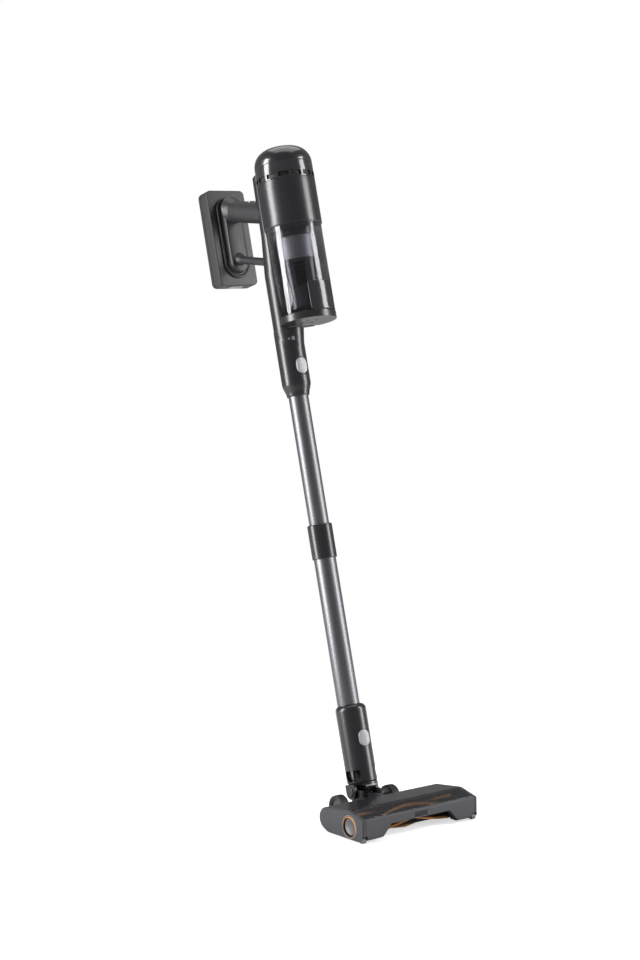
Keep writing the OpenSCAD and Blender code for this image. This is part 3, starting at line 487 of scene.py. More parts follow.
def fillet(corners: list[tuple[float, float, float]], steps: int = 6) -> np.ndarray:
    """Rounds the corners of an outline.

    Each corner is cut back along both its sides by radius / tan(half its angle) and the cut is
    bridged by a circle's arc. The first and last corners of the list stay sharp.

    Args:
        corners: (across, along, radius) for each corner in order.
        steps: pieces in each arc.
    Returns:
        The outline's points, one row each.
    """
    pts = [np.array(c[:2], float) for c in corners]
    out = [pts[0][None]]
    for i in range(1, len(pts) - 1):
        radius = corners[i][2]
        a, b = pts[i - 1] - pts[i], pts[i + 1] - pts[i]
        la, lb = np.linalg.norm(a), np.linalg.norm(b)
        a, b = a / la, b / lb
        half = math.acos(float(np.clip(a @ b, -1, 1))) / 2
        if radius <= 0 or half > math.pi / 2 - 1e-3:
            out.append(pts[i][None])
            continue
        cut = min(radius / math.tan(half), 0.49 * la, 0.49 * lb)
        radius = cut * math.tan(half)
        centre = pts[i] + (a + b) / np.linalg.norm(a + b) * radius / math.sin(half)
        start, end = pts[i] + a * cut - centre, pts[i] + b * cut - centre
        t = np.linspace(0, 1, steps + 1)[:, None]
        sweep = math.pi - 2 * half
        arc = (start * np.sin((1 - t) * sweep) + end * np.sin(t * sweep)) / math.sin(sweep)
        out.append(centre + arc)
    out.append(pts[-1][None])
    return np.vstack(out)


def dense(profile: np.ndarray, step: float) -> np.ndarray:
    """Adds points along an outline so that none lie further apart than a step."""
    out = []
    for a, b in zip(profile[:-1], profile[1:]):
        n = max(1, int(np.linalg.norm(b - a) / step))
        out.append(a + (b - a) * np.arange(n)[:, None] / n)
    out.append(profile[-1:])
    return np.vstack(out)


def grid_faces(rows: int, columns: int, wrap_rows: bool, wrap_columns: bool) -> list:
    """Quads of a grid of points, joined end to end where a direction wraps."""
    r = np.arange(rows if wrap_rows else rows - 1)
    c = np.arange(columns if wrap_columns else columns - 1)
    i, j = np.meshgrid(r, c, indexing="ij")
    i2, j2 = (i + 1) % rows, (j + 1) % columns
    quads = np.stack([i * columns + j, i * columns + j2, i2 * columns + j2, i2 * columns + j], -1)
    return quads.reshape(-1, 4).tolist()


def lathe(profile: np.ndarray, sides: int = 96, dip=None, closed: bool = True):
    """A solid of revolution about z.

    A point is (r cos t, r sin t, z), with (r, z) along the profile and t round the circle.
    dip(t, z, r) may take a depth off the radius where it is on the outer wall.

    Args:
        profile: (r, z) rows.
        sides: columns round the circle.
        dip: a function of whole arrays, or None.
        closed: whether the profile's last row joins its first.
    Returns:
        points and faces.
    """
    t = np.arange(sides) * TAU / sides
    r, z = np.broadcast_arrays(profile[:, :1], profile[:, 1:])
    r, z = r + 0 * t, z + 0 * t
    if dip is not None:
        r = r - dip(t[None, :] + 0 * z, z, r)
    points = np.stack([r * np.cos(t), r * np.sin(t), z], -1)
    return points.reshape(-1, 3), grid_faces(len(profile), sides, closed, True)


def stadium(w: float, h: float, n: int = 64) -> np.ndarray:
    """An upright oval with straight sides: half circles of the width joined by its sides."""
    t = np.arange(n) * TAU / n
    r = min(w, h) / 2
    x, y = r * np.cos(t), r * np.sin(t)
    x = x + np.where(np.cos(t) > 0, 1, -1) * (w / 2 - r)
    y = y + np.where(np.sin(t) > 0, 1, -1) * (h / 2 - r)
    return np.stack([x, y], -1)


def rounded_box(w: float, h: float, r: float, n: int = 64) -> np.ndarray:
    """A rectangle with round corners, as n points that go round it once."""
    t = np.arange(n) * TAU / n
    x = r * np.cos(t) + np.where(np.cos(t) > 0, 1, -1) * (w / 2 - r)
    y = r * np.sin(t) + np.where(np.sin(t) > 0, 1, -1) * (h / 2 - r)
    return np.stack([x, y], -1)


def sided(ring: np.ndarray, extra: int) -> np.ndarray:
    """Adds points along the four longest sides of a ring, so that it can be bent."""
    after = np.roll(ring, -1, 0)
    longest = np.argsort(np.linalg.norm(after - ring, axis=1))[-4:]
    out = []
    for i, (a, b) in enumerate(zip(ring, after)):
        n = extra if i in longest else 1
        out.append(a + (b - a) * np.arange(n)[:, None] / n)
    return np.vstack(out)


def plate(outline, levels: np.ndarray):
    """A plate whose outline draws in by level: ring k is outline(inset k) at height k.

    Args:
        outline: a function of the inset in millimetres that gives the ring's (x, y) points.
        levels: (inset, height) rows from the back edge to the front edge.
    Returns:
        points and faces, with the first and last rings closed by one face each.
    """
    rings = [
        np.column_stack([outline(inset), np.full(len(outline(inset)), height)])
        for inset, height in levels
    ]
    n = len(rings[0])
    faces = grid_faces(len(rings), n, False, True)
    faces.append(list(range(n))[::-1])
    faces.append([(len(rings) - 1) * n + k for k in range(n)])
    return np.vstack(rings), faces


def edge_levels(depth: float, back: float, front: float, steps: int = 5) -> np.ndarray:
    """(inset, height) rows of a plate with a quarter-round at its back and front edges."""
    a = np.linspace(0, math.pi / 2, steps + 1)
    low = np.column_stack([back * (1 - np.sin(a)), back * (1 - np.cos(a))])
    high = np.column_stack([front * (1 - np.cos(a)), depth - front + front * np.sin(a)])
    return np.vstack([low, high])


def upright(points: np.ndarray, back: float, middle: float, way: float) -> np.ndarray:
    """Stands a plate up, its length along z.

    Args:
        points: the plate's own points, with its height last.
        back: y of the plate's back edge.
        middle: z of its middle.
        way: -1 if it faces the front, 1 if it faces the back.
    Returns:
        The points in the wand's frame.
    """
    return np.column_stack([points[:, 0], back + way * points[:, 2], middle + points[:, 1]])


def wrapped(points: np.ndarray, outer: float, depth: float, middle: float) -> np.ndarray:
    """Bends a plate round the z axis, so that its width becomes an arc and its face looks out.

    Args:
        points: the plate's own points, with its height last.
        outer: radius of its face.
        depth: its thickness.
        middle: z of its middle.
    Returns:
        The points about the axis, with the plate at the front.
    """
    angle, radius = points[:, 0] / outer, outer - depth + points[:, 2]
    return np.column_stack([radius * np.sin(angle), -radius * np.cos(angle), middle + points[:, 1]])


def open_tube(
    r: float, wall: float, ends: tuple[float, float], inner_lip: float, outer_lip: float
) -> np.ndarray:
    """Profile of a tube with rounded lips. It starts halfway up the inner wall.

    Args:
        r: outer radius.
        wall: thickness.
        ends: z of the lower and the upper end.
        inner_lip: radius of the lips' inner edges.
        outer_lip: radius of their outer edges.
    Returns:
        (r, z) rows of a closed profile.
    """
    low, high = ends
    start = (r - wall, (low + high) / 2, 0)
    lips = [(r - wall, low, inner_lip), (r, low, outer_lip), (r, high, outer_lip)]
    return fillet([start, *lips, (r - wall, high, inner_lip), start], 3)[:-1]


def tube_along(path: np.ndarray, radius: np.ndarray, sides: int = 32):
    """A tube along a path in the plane x = 0.

    Each ring stands square to the path: its axes are x and the path's normal in the plane.

    Args:
        path: (y, z) rows.
        radius: one radius for each row.
        sides: points in each ring.
    Returns:
        points and faces, closed at both ends.
    """
    way = np.gradient(path, axis=0)
    way /= np.linalg.norm(way, axis=1)[:, None]
    normal = np.column_stack([-way[:, 1], way[:, 0]])
    t = np.arange(sides) * TAU / sides
    x = radius[:, None] * np.cos(t)
    y = path[:, :1] + radius[:, None] * np.sin(t) * normal[:, :1]
    z = path[:, 1:] + radius[:, None] * np.sin(t) * normal[:, 1:]
    n = len(path)
    faces = grid_faces(n, sides, False, True)
    faces.append(list(range(sides))[::-1])
    faces.append([(n - 1) * sides + k for k in range(sides)])
    return np.stack([x, y, z], -1).reshape(-1, 3), faces


# ---------------------------------------------------------------- pieces


def tidy_mesh(mesh: bpy.types.Mesh, sharp: float, outward: bool) -> None:
    """Merges doubles, turns faces outward where asked, and shades smooth below an angle."""
    work = bmesh.new()
    work.from_mesh(mesh)
    bmesh.ops.remove_doubles(work, verts=work.verts, dist=MERGE)
    bmesh.ops.dissolve_degenerate(work, edges=work.edges, dist=1e-6)
    if outward:
        bmesh.ops.recalc_face_normals(work, faces=work.faces)
    work.to_mesh(mesh)
    work.free()
    mesh.polygons.foreach_set("use_smooth", np.ones(len(mesh.polygons), bool))
    mesh.set_sharp_from_angle(angle=math.radians(sharp))


def piece(
    name: str,
    surface: tuple,
    place: Placement,
    finish: Finish,
    body: str,
    stands_for: tuple[str, ...] = (),
    sharp: float = 40.0,
) -> bpy.types.Object:
    """Makes one object from local millimetres, dresses it and lets it ride on its body.

    Args:
        name: the piece's name.
        surface: points and faces.
        place: the local frame that the points are in.
        finish: its finish.
        body: the CAD body it rides on.
        stands_for: CAD nodes that it replaces.
        sharp: the angle in degrees above which an edge is shaded sharp.
    Returns:
        The object, at the origin, with its place in its mesh.
    """
    points, faces = surface
    mesh = bpy.data.meshes.new(name)
    mesh.from_pydata(place.world(np.asarray(points, float)).tolist(), [], faces)
    tidy_mesh(mesh, sharp, True)
    mesh.materials.append(finish.material())
    made = bpy.data.objects.new(name, mesh)
    bpy.context.scene.collection.objects.link(made)
    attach(made, body)
    if stands_for:
        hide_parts(*stands_for)
    LOG.info("%s: %d faces on %s", name, len(mesh.polygons), body)
    return made


def eased(frame: Frame, node: str, finish: Finish, edge: float = 0.6) -> bpy.types.Object:
    """A copy of a CAD node with merged points and softly rounded edges, in its place.

    Args:
        frame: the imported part.
        node: the CAD node's name.
        finish: its finish.
        edge: width of the rounding in millimetres.
    Returns:
        The object.
    """
    source = frame.node(node)
    mesh = source.data.copy()
    mesh.name = f"{node}_eased"
    mesh.materials.clear()
    work = bmesh.new()
    work.from_mesh(mesh)
    bmesh.ops.remove_doubles(work, verts=work.verts, dist=MERGE)
    bmesh.ops.dissolve_limit(
        work, angle_limit=math.radians(FLAT), verts=work.verts, edges=work.edges
    )
    bend = math.radians(CRISP)
    crisp = [e for e in work.edges if e.is_manifold and e.calc_face_angle(0) > bend]
    bmesh.ops.bevel(
        work,
        geom=crisp,
        offset=edge * MM,
        segments=2,
        profile=0.5,
        affect="EDGES",
        clamp_overlap=True,
    )
    bmesh.ops.triangulate(work, faces=[f for f in work.faces if len(f.verts) > 4])
    work.to_mesh(mesh)
    work.free()
    mesh.polygons.foreach_set("use_smooth", np.ones(len(mesh.polygons), bool))
    mesh.set_sharp_from_angle(angle=math.radians(SMOOTH))
    mesh.materials.append(finish.material())
    made = bpy.data.objects.new(f"{node}_eased", mesh)
    bpy.context.scene.collection.objects.link(made)
    # broad faces win over the narrow roundings beside them, so they stay flat to the eye
    made.modifiers.new("broad_faces_first", "WEIGHTED_NORMAL").keep_sharp = True
    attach(made, frame.body_of(node))
    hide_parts(node)
    LOG.info("%s: eased, %d faces", node, len(mesh.polygons))
    return made


def dress(frame: Frame, node: str, finish: Finish) -> None:
    """Puts a finish on a CAD node that is shown as it is."""
    target = frame.node(node)
    if not target.data.materials:
        target.data.materials.append(finish.material())
    for i in range(len(target.data.materials)):
        target.data.materials[i] = finish.material()


# ---------------------------------------------------------------- finishes of this vacuum


class Role(Enum):
    """What a surface is on this vacuum; each value is the record's material slot."""

    HOUSING = "housing_plastic"
    HANDLE = "handle_plastic"
    GLOSS = "gloss_plastic"
    CLEAR = "smoked_clear"
    DOME = "dome_clear"
    WAND = "wand_metal"
    SILVER = "silver_plastic"
    BUMPER = "bumper_plastic"
    CAP = "cap_plastic"
    AMBER = "amber_plastic"
    ROLL = "brush_metal"
    BRISTLE = "bristle_nylon"
    RUBBER = "soft_rubber"
    TYRE = "wheel_rubber"
    ROLLER = "roller_plastic"
    MESH = "steel_mesh"
    MOTOR = "motor_metal"
    PIN = "pin_steel"
    PAPER = "filter_paper"
    FOAM = "filter_foam"
    BOARD = "board_laminate"
    SLEEVE = "cell_sleeve"
    MARK = "mark_white"
    KEY = "key_grey"
    LAMP = "lamp_black"
    BUSH = "bush_acetal"


def finishes(frame: Frame) -> dict[Role, Finish]:
    """The finish of each role.

    Args:
        frame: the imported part, for the lean of the wand and the place of the mesh drum.
    Returns:
        one finish for each role.
    """
    turn = (-frame.lean, 0.0, 0.0)
    lo, hi = frame.stick.box(frame.node("cyclone_mesh"))
    drum = frame.stick.moved(y=(lo[1] + hi[1]) / 2).world(np.zeros((1, 3)))[0]
    made = [
        # ABS, satin from a spark-eroded mould: broad soft highlights, no sparkle
        Moulded(
            "abs_satin_housing", Role.HOUSING.value, "#252528", 0.3, coat=0.3, coat_roughness=0.2
        ),
        # ABS, finer matt grain where the hand and the dock touch: a greyer, flatter black
        Moulded(
            "abs_grained_handle", Role.HANDLE.value, "#303032", 0.42, grain_mm=1.4,
            grain_deep_mm=0.05,
        ),
        # ABS, polished mould: tight bright edges on near black
        Moulded(
            "abs_polished_trim", Role.GLOSS.value, "#303033", 0.18, coat=0.5,
            coat_roughness=0.06, grain_deep_mm=0.0,
        ),
        # polycarbonate, polished and smoked: dark glass that shows the cyclone behind it
        Clear("polycarbonate_smoked_bin", Role.CLEAR.value, "#c2c2c6", 0.02, tint="#dcdce0"),
        # polycarbonate over a dark liner: deep black with both a sharp and a soft highlight
        Moulded(
            "polycarbonate_lined_dome", Role.DOME.value, "#1e1e21", 0.3, coat=1.0,
            coat_roughness=0.04, grain_deep_mm=0.0,
        ),
        # aluminium tube, drawn and anodised gunmetal: its lines stretch the highlight
        Drawn("aluminium_anodised_wand", Role.WAND.value, "#78787b", 0.42, metallic=1.0, turn=turn),
        # ABS painted satin silver: pale and even
        Moulded(
            "abs_silver_paint", Role.SILVER.value, "#a2a2a5", 0.34, coat=0.3, grain_deep_mm=0.01
        ),
        # ABS, moulded mid grey: the front band is paler than the roof
        Moulded("abs_grey_bumper", Role.BUMPER.value, "#48484c", 0.38, grain_mm=1.2),
        # ABS, moulded mid grey with a satin mould: the end caps
        Moulded("abs_grey_cap", Role.CAP.value, "#414145", 0.36, grain_mm=1.2),
        # ABS, moulded in solid amber: the only warm colour on the outside
        Moulded("abs_amber_ring", Role.AMBER.value, "#d98e26", 0.3, coat=0.4, grain_deep_mm=0.01),
        # brush roll, extruded aluminium anodised near black: a dark sheen under the bristles
        Drawn(
            "aluminium_black_roll", Role.ROLL.value, "#1f1f23", 0.3, metallic=1.0, line_mm=0.6,
            run_mm=40.0, turn=(0.0, math.pi / 2, 0.0),
        ),
        # nylon, tufted: orange fibres with painted shade that darkens them between the tufts
        Fibrous(
            "nylon_amber_bristle", Role.BRISTLE.value, "#d88a24", 0.6, cell_mm=0.5, deep_mm=0.25,
            sheen=0.3,
        ),
        # TPE, moulded matt: soft black with no clear highlight
        Moulded(
            "elastomer_matt_black", Role.RUBBER.value, "#151517", 0.55, grain_mm=0.9,
            grain_deep_mm=0.04,
        ),
        # rubber tyre over ABS: dark and dry
        Moulded("rubber_tyre", Role.TYRE.value, "#222225", 0.5, grain_mm=1.6, grain_deep_mm=0.06),
        # acetal, moulded grey: small pale rollers
        Moulded("acetal_grey_roller", Role.ROLLER.value, "#77777a", 0.35, grain_deep_mm=0.01),
        # stainless sheet, etched: a grid of small dark holes in grey
        Pierced(
            "steel_etched_mesh", Role.MESH.value, "#b4b4b8", 0.45, metallic=0.7, turn=turn,
            centre=tuple(float(v) for v in drum),
        ),
        # steel can, drawn and plated
        Drawn(
            "steel_plated_motor", Role.MOTOR.value, "#8d8d91", 0.3, metallic=1.0, line_mm=0.4,
            run_mm=20.0,
        ),
        # steel rod, ground: bright and fine
        Drawn(
            "steel_ground_pin", Role.PIN.value, "#8a8a8d", 0.3, metallic=1.0, line_mm=0.3,
            run_mm=12.0, turn=(0.0, math.pi / 2, 0.0),
        ),
        # glass fibre paper, pleated
        Fibrous(
            "paper_pleated_filter", Role.PAPER.value, "#e4e4de", 0.85, cell_mm=0.7, deep_mm=0.08,
            shade_share=0.8,
        ),
        # polyurethane foam, open cell
        Fibrous("foam_open_cell", Role.FOAM.value, "#5c6876", 0.9, cell_mm=1.2, deep_mm=0.5),
        # glass-epoxy board under green lacquer
        Moulded(
            "laminate_green_board", Role.BOARD.value, "#235a34", 0.3, coat=0.5, grain_deep_mm=0.01
        ),
        # heat-shrunk sleeve on a cell
        Moulded("sleeve_blue_cell", Role.SLEEVE.value, "#3a7cab", 0.32, coat=0.3, grain_deep_mm=0.01),
        # pad print, grey on black
        Moulded("ink_grey_mark", Role.MARK.value, "#858588", 0.5, grain_deep_mm=0.0),
        # ABS, moulded dark grey: the keys on the grip
        Moulded("abs_grey_key", Role.KEY.value, "#3f3f42", 0.3, coat=0.3, grain_deep_mm=0.01),
        # polycarbonate lamp cover over a black reflector
        Moulded(
            "polycarbonate_black_lamp", Role.LAMP.value, "#0c0c0e", 0.45, grain_deep_mm=0.0
        ),
        # acetal, machined white
        Moulded("acetal_white_bush", Role.BUSH.value, "#cfcfca", 0.4, grain_deep_mm=0.01),
    ]
    by_slot = {f.slot: f for f in made}
    return {role: by_slot[role.value] for role in Role}


# ---------------------------------------------------------------- sub-assemblies


@dataclass
class Part:
    """What every sub-assembly needs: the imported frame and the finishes."""

    frame: Frame
    finish: dict[Role, Finish]

    def span(self, node: str, place: Placement | None = None) -> tuple[np.ndarray, np.ndarray]:
        """Lowest and highest corner of a node, in the wand's frame or in another."""
        return (place or self.frame.stick).box(self.frame.node(node))

    def soften(self, role: Role, edge: float, *nodes: str) -> None:
        """Shows CAD nodes with merged points and rounded edges."""
        for node in nodes:
            eased(self.frame, node, self.finish[role], edge)

    def stand_in(
        self,
        name: str,
        surface: tuple,
        role: Role,
        node: str,
        place: Placement | None = None,
        sharp: float = 40.0,
    ) -> None:
        """Adds a piece that takes a CAD node's place and rides on that node's body.

        Args:
            name: the piece's name.
            surface: points and faces in local millimetres.
            role: what the piece is made as, which gives its finish.
            node: the CAD node that it replaces.
            place: the local frame, or None for the wand's.
            sharp: the angle in degrees above which an edge is shaded sharp.
        """
        where, rider = place or self.frame.stick, self.frame.body_of(node)
        piece(name, surface, where, self.finish[role], rider, (node,), sharp)


def around_front(t: np.ndarray) -> np.ndarray:
    """Angle from the front, -y, in -pi to pi."""
    return (t + math.pi / 2 + math.pi) % TAU - math.pi


def soft_step(x: np.ndarray, low: float, high: float) -> np.ndarray:
    """0 below low, 1 above high and a smooth curve between."""
    s = np.clip((x - low) / (high - low), 0, 1)
    return s * s * (3 - 2 * s)


def stadium_distance(x: np.ndarray, z: np.ndarray, w: float, h: float) -> np.ndarray:
    """Signed distance to an upright oval with straight sides, below 0 inside it."""
    reach = np.maximum(np.abs(z) - (h - w) / 2, 0)
    return np.hypot(x, reach) - w / 2


@dataclass
class HandUnit(Part):
    """Motor housing, dome, dust bin, neck and their inner pieces."""

    wall: float = 2.5
    lathe_sides: int = 144
    floor_bore: float = 16.0
    floor_h: float = 3.0
    foot_inset: float = 1.4
    foot_h: float = 1.2
    shade_sheet_wall: float = 0.2
    shade_sheet_inset: float = 0.3
    bin_wall: float = 2.0
    latch_depth: float = 2.2
    latch_corner: float = 5.0
    band_share: float = 0.33
    crown: float = 1.5
    dome_edge: float = 30.0
    button_gap: float = 1.1
    button_clear: float = 1.4
    bend_steps: int = 16
    collar_over: float = 2.4
    socket_clear: float = 0.25
    swell_h: float = 22.0
    duct_r: float = 13.0
    socket_depth: float = 80.0
    rim_h: float = 34.0
    rim_grow: float = 4.5
    rim_forward: float = 3.0
    well_deep: float = 4.0

    def __post_init__(self) -> None:
        """The body's axis is the middle of the motor housing."""
        lo, hi = self.span("motor_housing")
        self.body = self.frame.stick.moved(y=float(lo[1] + hi[1]) / 2)
        self.root = self.frame.body_of("motor_housing")

    def build(self) -> None:
        """Makes every piece of the hand unit."""
        self.housing()
        self.dome()
        self.bin()
        self.latch()
        self.neck()
        self.inner()

    def housing(self) -> None:
        """The motor housing is a cup: a lathe with eased lips and a shadow gap at its foot.

        A thin dark sheet round the filter stands behind the vent's ribs: painted shade, so the vent
        openings read dark.
        """
        lo, hi = self.span("motor_housing", self.body)
        r, z0, z1 = hi[0], lo[2], hi[2]
        profile = fillet(
            [
                (self.floor_bore, z0, 0),
                (r - self.foot_inset, z0, 0.4),
                (r - self.foot_inset, z0 + self.foot_h, 0.3),
                (r, z0 + self.foot_h + 0.8, 0.8),
                (r, z1, 0.8),
                (r - self.wall, z1, 0.4),
                (r - self.wall, z0 + self.floor_h, 0.6),
                (self.floor_bore, z0 + self.floor_h, 0),
            ]
        )
        shell = lathe(dense(profile, 12), self.lathe_sides)
        self.stand_in("housing_shell", shell, Role.HOUSING, "motor_housing", self.body)
        self.soften(Role.GLOSS, 0.4, "exhaust_grille")
        lo, hi = self.span("exhaust_grille", self.body)
        # a thin matt black sheet round the filter is painted shade: it hides the pale filter, so the gaps
        # between the vent's ribs read dark
        out = self.span("hepa_filter", self.body)[1][0] + 0.1
        far, low, high = out + self.shade_sheet_wall, lo[2] + self.shade_sheet_inset, hi[2] - self.shade_sheet_inset
        shade_sheet = lathe(np.array([[out, low], [far, low], [far, high], [out, high]]), 96)
        piece("vent_shade_sheet", shade_sheet, self.body, self.finish[Role.RUBBER], self.root)

    def dome(self) -> None:
        """The dome is a lathe: an upright foot, a quarter round and a slight crown.

        Its foot is a darker ring, parted from the shell by a fine groove.
        """
        lo, hi = self.span("dome_cover", self.body)
        r, z0, z1 = hi[0], lo[2], hi[2]
        band = z0 + (z1 - z0) * self.band_share
        rider = self.frame.body_of("dome_cover")
        a = np.linspace(0, math.radians(84), 18)[:, None]
        edge = self.dome_edge
        quarter = np.hstack([r - edge + edge * np.cos(a), z1 - self.crown - edge + edge * np.sin(a)])
        across = np.linspace(1, 0, 8)[1:, None]
        edge_r, edge_z = quarter[-1]
        top = np.hstack([edge_r * across, edge_z + (z1 - edge_z) * (1 - across**2)])
        outer = np.vstack([[[r - 0.5, band + 0.3], [r, band + 0.8]], quarter, top])
        back = outer[::-1]
        inner = np.column_stack([np.maximum(back[:, 0] - self.wall, 0), back[:, 1] - self.wall])
        inner[-1, 1] = inner[-2, 1] = band + 0.3
        shell = lathe(np.vstack([outer, inner]), self.lathe_sides)
        self.stand_in("dome_shell", shell, Role.DOME, "dome_cover", self.body)
        bore = r - self.wall
        foot = fillet([(bore, z0, 0), (r, z0, 0.3), (r, band, 0.4), (bore, band, 0)])
        foot = lathe(foot, self.lathe_sides)
        piece("dome_foot", foot, self.body, self.finish[Role.GLOSS], rider)

    def bin(self) -> None:
        """The bin is a clear open tube with round lips."""
        lo, hi = self.span("dust_bin", self.body)
        r, z0, z1 = hi[0], lo[2], hi[2]
        profile = open_tube(r, self.bin_wall, (z0, z1), 0.5, 0.5)
        self.stand_in("bin_wall", lathe(profile, 160), Role.CLEAR, "dust_bin", self.body)
        self.soften(Role.HOUSING, 0.5, "bin_base", "bin_door")

    def latch(self) -> None:
        """The latch is a rounded panel bent round the bin: its width is an arc of the bin."""
        lo, hi = self.span("door_latch", self.body)
        outer = -lo[1]
        depth = self.latch_depth
        half = math.asin(min(1.0, hi[0] / outer)) * outer
        w, h, mid = 2 * half, hi[2] - lo[2], (hi[2] + lo[2]) / 2
        levels = edge_levels(depth, 0.2, 1.1, 4)
        points, faces = plate(
            lambda i: sided(
                rounded_box(w - 2 * i, h - 2 * i, self.latch_corner - i, 64), self.bend_steps
            ),
            levels,
        )
        bent = wrapped(points, outer, depth, mid)
        # the flat front face would cut across the bend, so rings that shrink take its place
        cap = faces.pop()
        columns = len(cap)
        rings = np.linspace(1, 0, 7)[1:]
        last = points[[*cap]]
        fill = [np.column_stack([last[:, :2] * s, last[:, 2]]) for s in rings]
        more = wrapped(np.vstack(fill), outer, depth, mid)
        start = len(bent) - columns
        extra = np.array(grid_faces(len(rings) + 1, columns, False, True)) + start
        faces += extra.tolist()
        panel = (np.vstack([bent, more]), faces)
        self.stand_in("latch_panel", panel, Role.GLOSS, "door_latch", self.body)

    def neck(self) -> None:
        """The neck swells from the wand to its full width, with an oval well round its button.

        Its radius is the greater of the lathe's own and of a cone set forward at the top, so the
        rim grows towards the bin.
        """
        lo, hi = self.span("neck_socket")
        button_lo, button_hi = self.span("wand_release_button")
        z0, z1, r = lo[2], hi[2], -button_lo[1] - self.button_clear
        tube_r = self.span("upper_tube")[1][0]
        foot, bore = tube_r + self.collar_over, tube_r + self.socket_clear
        step = z0 + self.socket_depth
        t = np.linspace(0, 1, 12)[:, None]
        swell = np.hstack([foot + (r - foot) * (t * t * (3 - 2 * t)), z0 + 0.8 + self.swell_h * t])
        outer = np.vstack([[[foot - 0.8, z0]], swell, [[r, z1]]])
        inner = np.array([[self.duct_r, z1], [self.duct_r, step + 2], [bore, step], [bore, z0]])
        middle, size = (button_lo + button_hi) / 2, button_hi - button_lo
        flare = -lo[1] - self.rim_forward
        rim_foot = z1 - self.rim_h

        def dip(t: np.ndarray, z: np.ndarray, rad: np.ndarray) -> np.ndarray:
            """The well round the button and the forward rim, on the outer wall only."""
            front = around_front(t)
            grown = np.clip((z - rim_foot) / self.rim_h, 0, 1)
            cone = flare - self.rim_grow * (1 - grown)
            aside = self.rim_forward * np.sin(front)
            rim = self.rim_forward * np.cos(front) + np.sqrt(cone**2 - aside**2)
            rim = np.where(z > rim_foot, rim, 0)
            d = stadium_distance(front * r, z - middle[2], size[0], size[2])
            well = 1.0 * (1 - soft_step(d, self.button_gap, self.button_gap + 1.2))
            well = np.where(d < -1.0, self.well_deep, well)
            well = np.where(np.abs(front) < 0.9, well, 0)
            return np.where(rad > foot - 1, np.minimum(rad - rim, 0) + well, 0)

        # rows lie close together where the well needs them
        near = np.linspace(middle[2] - 18, middle[2] + 18, 60)
        above = np.linspace(middle[2] + 20, z1, 30)
        rows = np.concatenate([near[near > z0 + 23], above])
        wall = np.column_stack([np.full(len(rows), r), rows])
        profile = np.vstack([outer[:-1], wall, inner])
        shell = lathe(profile, 224, dip)
        self.stand_in("neck_shell", shell, Role.HOUSING, "neck_socket", sharp=50)
        oval_button(self, "wand_release_button", "neck_button")

    def inner(self) -> None:
        """The cyclone behind the clear wall, and the rail behind the bin."""
        self.soften(Role.HOUSING, 0.6, "duct_spine")
        self.soften(Role.GLOSS, 0.5, "cyclone_cap", "cyclone_skirt", "inlet_duct")


def oval_button(part: Part, node: str, name: str) -> None:
    """A push button: an oval plate with a rolled edge and a slightly crowned face.

    Args:
        part: the sub-assembly it belongs to.
        node: the CAD node that it stands for.
        name: the piece's name.
    """
    lo, hi = part.span(node)
    w, h, depth = hi[0] - lo[0], hi[2] - lo[2], hi[1] - lo[1]
    a = np.linspace(0, math.pi / 2, 6)
    edge = np.column_stack([1.3 * (1 - np.cos(a)), depth - 1.5 + 1.1 * np.sin(a)])
    crown = np.array([[3.0, depth - 0.2], [5.5, depth - 0.05], [8.5, depth]])
    levels = np.vstack([[[0, 0]], edge, crown])
    points, faces = plate(lambda i: stadium(w - 2 * i, h - 2 * i, 64), levels)
    placed = upright(points, hi[1], (lo[2] + hi[2]) / 2, -1)
    part.stand_in(name, (placed, faces), Role.SILVER, node, sharp=50)


@dataclass
class Handle(Part):
    """The bar grip, its strut, the pad on the battery and the battery box."""

    seam_share: float = 0.62
    seam_half: float = 0.6
    seam_deep: float = 0.6
    box_corner: float = 9.0
    back_round: float = 1.6
    far_round: float = 8.5

    def build(self) -> None:
        """Makes every piece of the handle."""
        self.pad()
        self.battery()
        self.soften(Role.HANDLE, 0.8, "handle_grip", "handle_strut")
        self.soften(Role.SILVER, 0.4, "battery_catch", "mode_button")
        self.soften(Role.KEY, 0.4, "power_button")

    def pad(self) -> None:
        """The pad is an oval plate: a rolled rim, a shallow gutter and a raised middle."""
        lo, hi = self.span("handle_pad")
        w, l, t = hi[0] - lo[0], hi[2] - lo[2], hi[1] - lo[1]
        levels = np.array(
            [[0.8, 0], [0.2, 0.3], [0, 0.9], [0, 2.4], [0.3, 3.3], [0.9, 4.0], [1.8, 4.4], [2.9, 4.3],
             [3.8, 3.9], [4.6, 3.2], [6.3, 3.0], [7.5, 3.5], [8.1, 5.0], [8.4, 8.0], [8.6, 11.0],
             [9.1, t - 1.3], [10.1, t - 0.4], [11.6, t]]
        )
        points, faces = plate(lambda i: stadium(w - 2 * i, l - 2 * i, 128), levels)
        placed = upright(points, hi[1], (lo[2] + hi[2]) / 2, -1)
        self.stand_in("grip_pad", (placed, faces), Role.HANDLE, "handle_pad", sharp=60)

    def battery(self) -> None:
        """The battery is a box: round corners all round, a wide round at its back and a seam."""
        lo, hi = self.span("battery_case")
        w, l, t = hi[0] - lo[0], hi[2] - lo[2], hi[1] - lo[1]
        seam = t * self.seam_share
        levels = edge_levels(t, self.back_round, self.far_round, 8)
        wide, deep = self.seam_half, self.seam_deep
        low, high = seam - wide / 2, seam + wide / 2
        gap = np.array([[0, seam - wide], [deep, low], [deep, high], [0, seam + wide]])
        cut = np.searchsorted(levels[:, 1], seam)
        levels = np.vstack([levels[:cut], gap, levels[cut:]])
        points, faces = plate(
            lambda i: rounded_box(w - 2 * i, l - 2 * i, max(self.box_corner - i, 1.5), 96), levels
        )
        placed = upright(points, lo[1], (lo[2] + hi[2]) / 2, 1)
        self.stand_in("battery_shell", (placed, faces), Role.HANDLE, "battery_case", sharp=45)


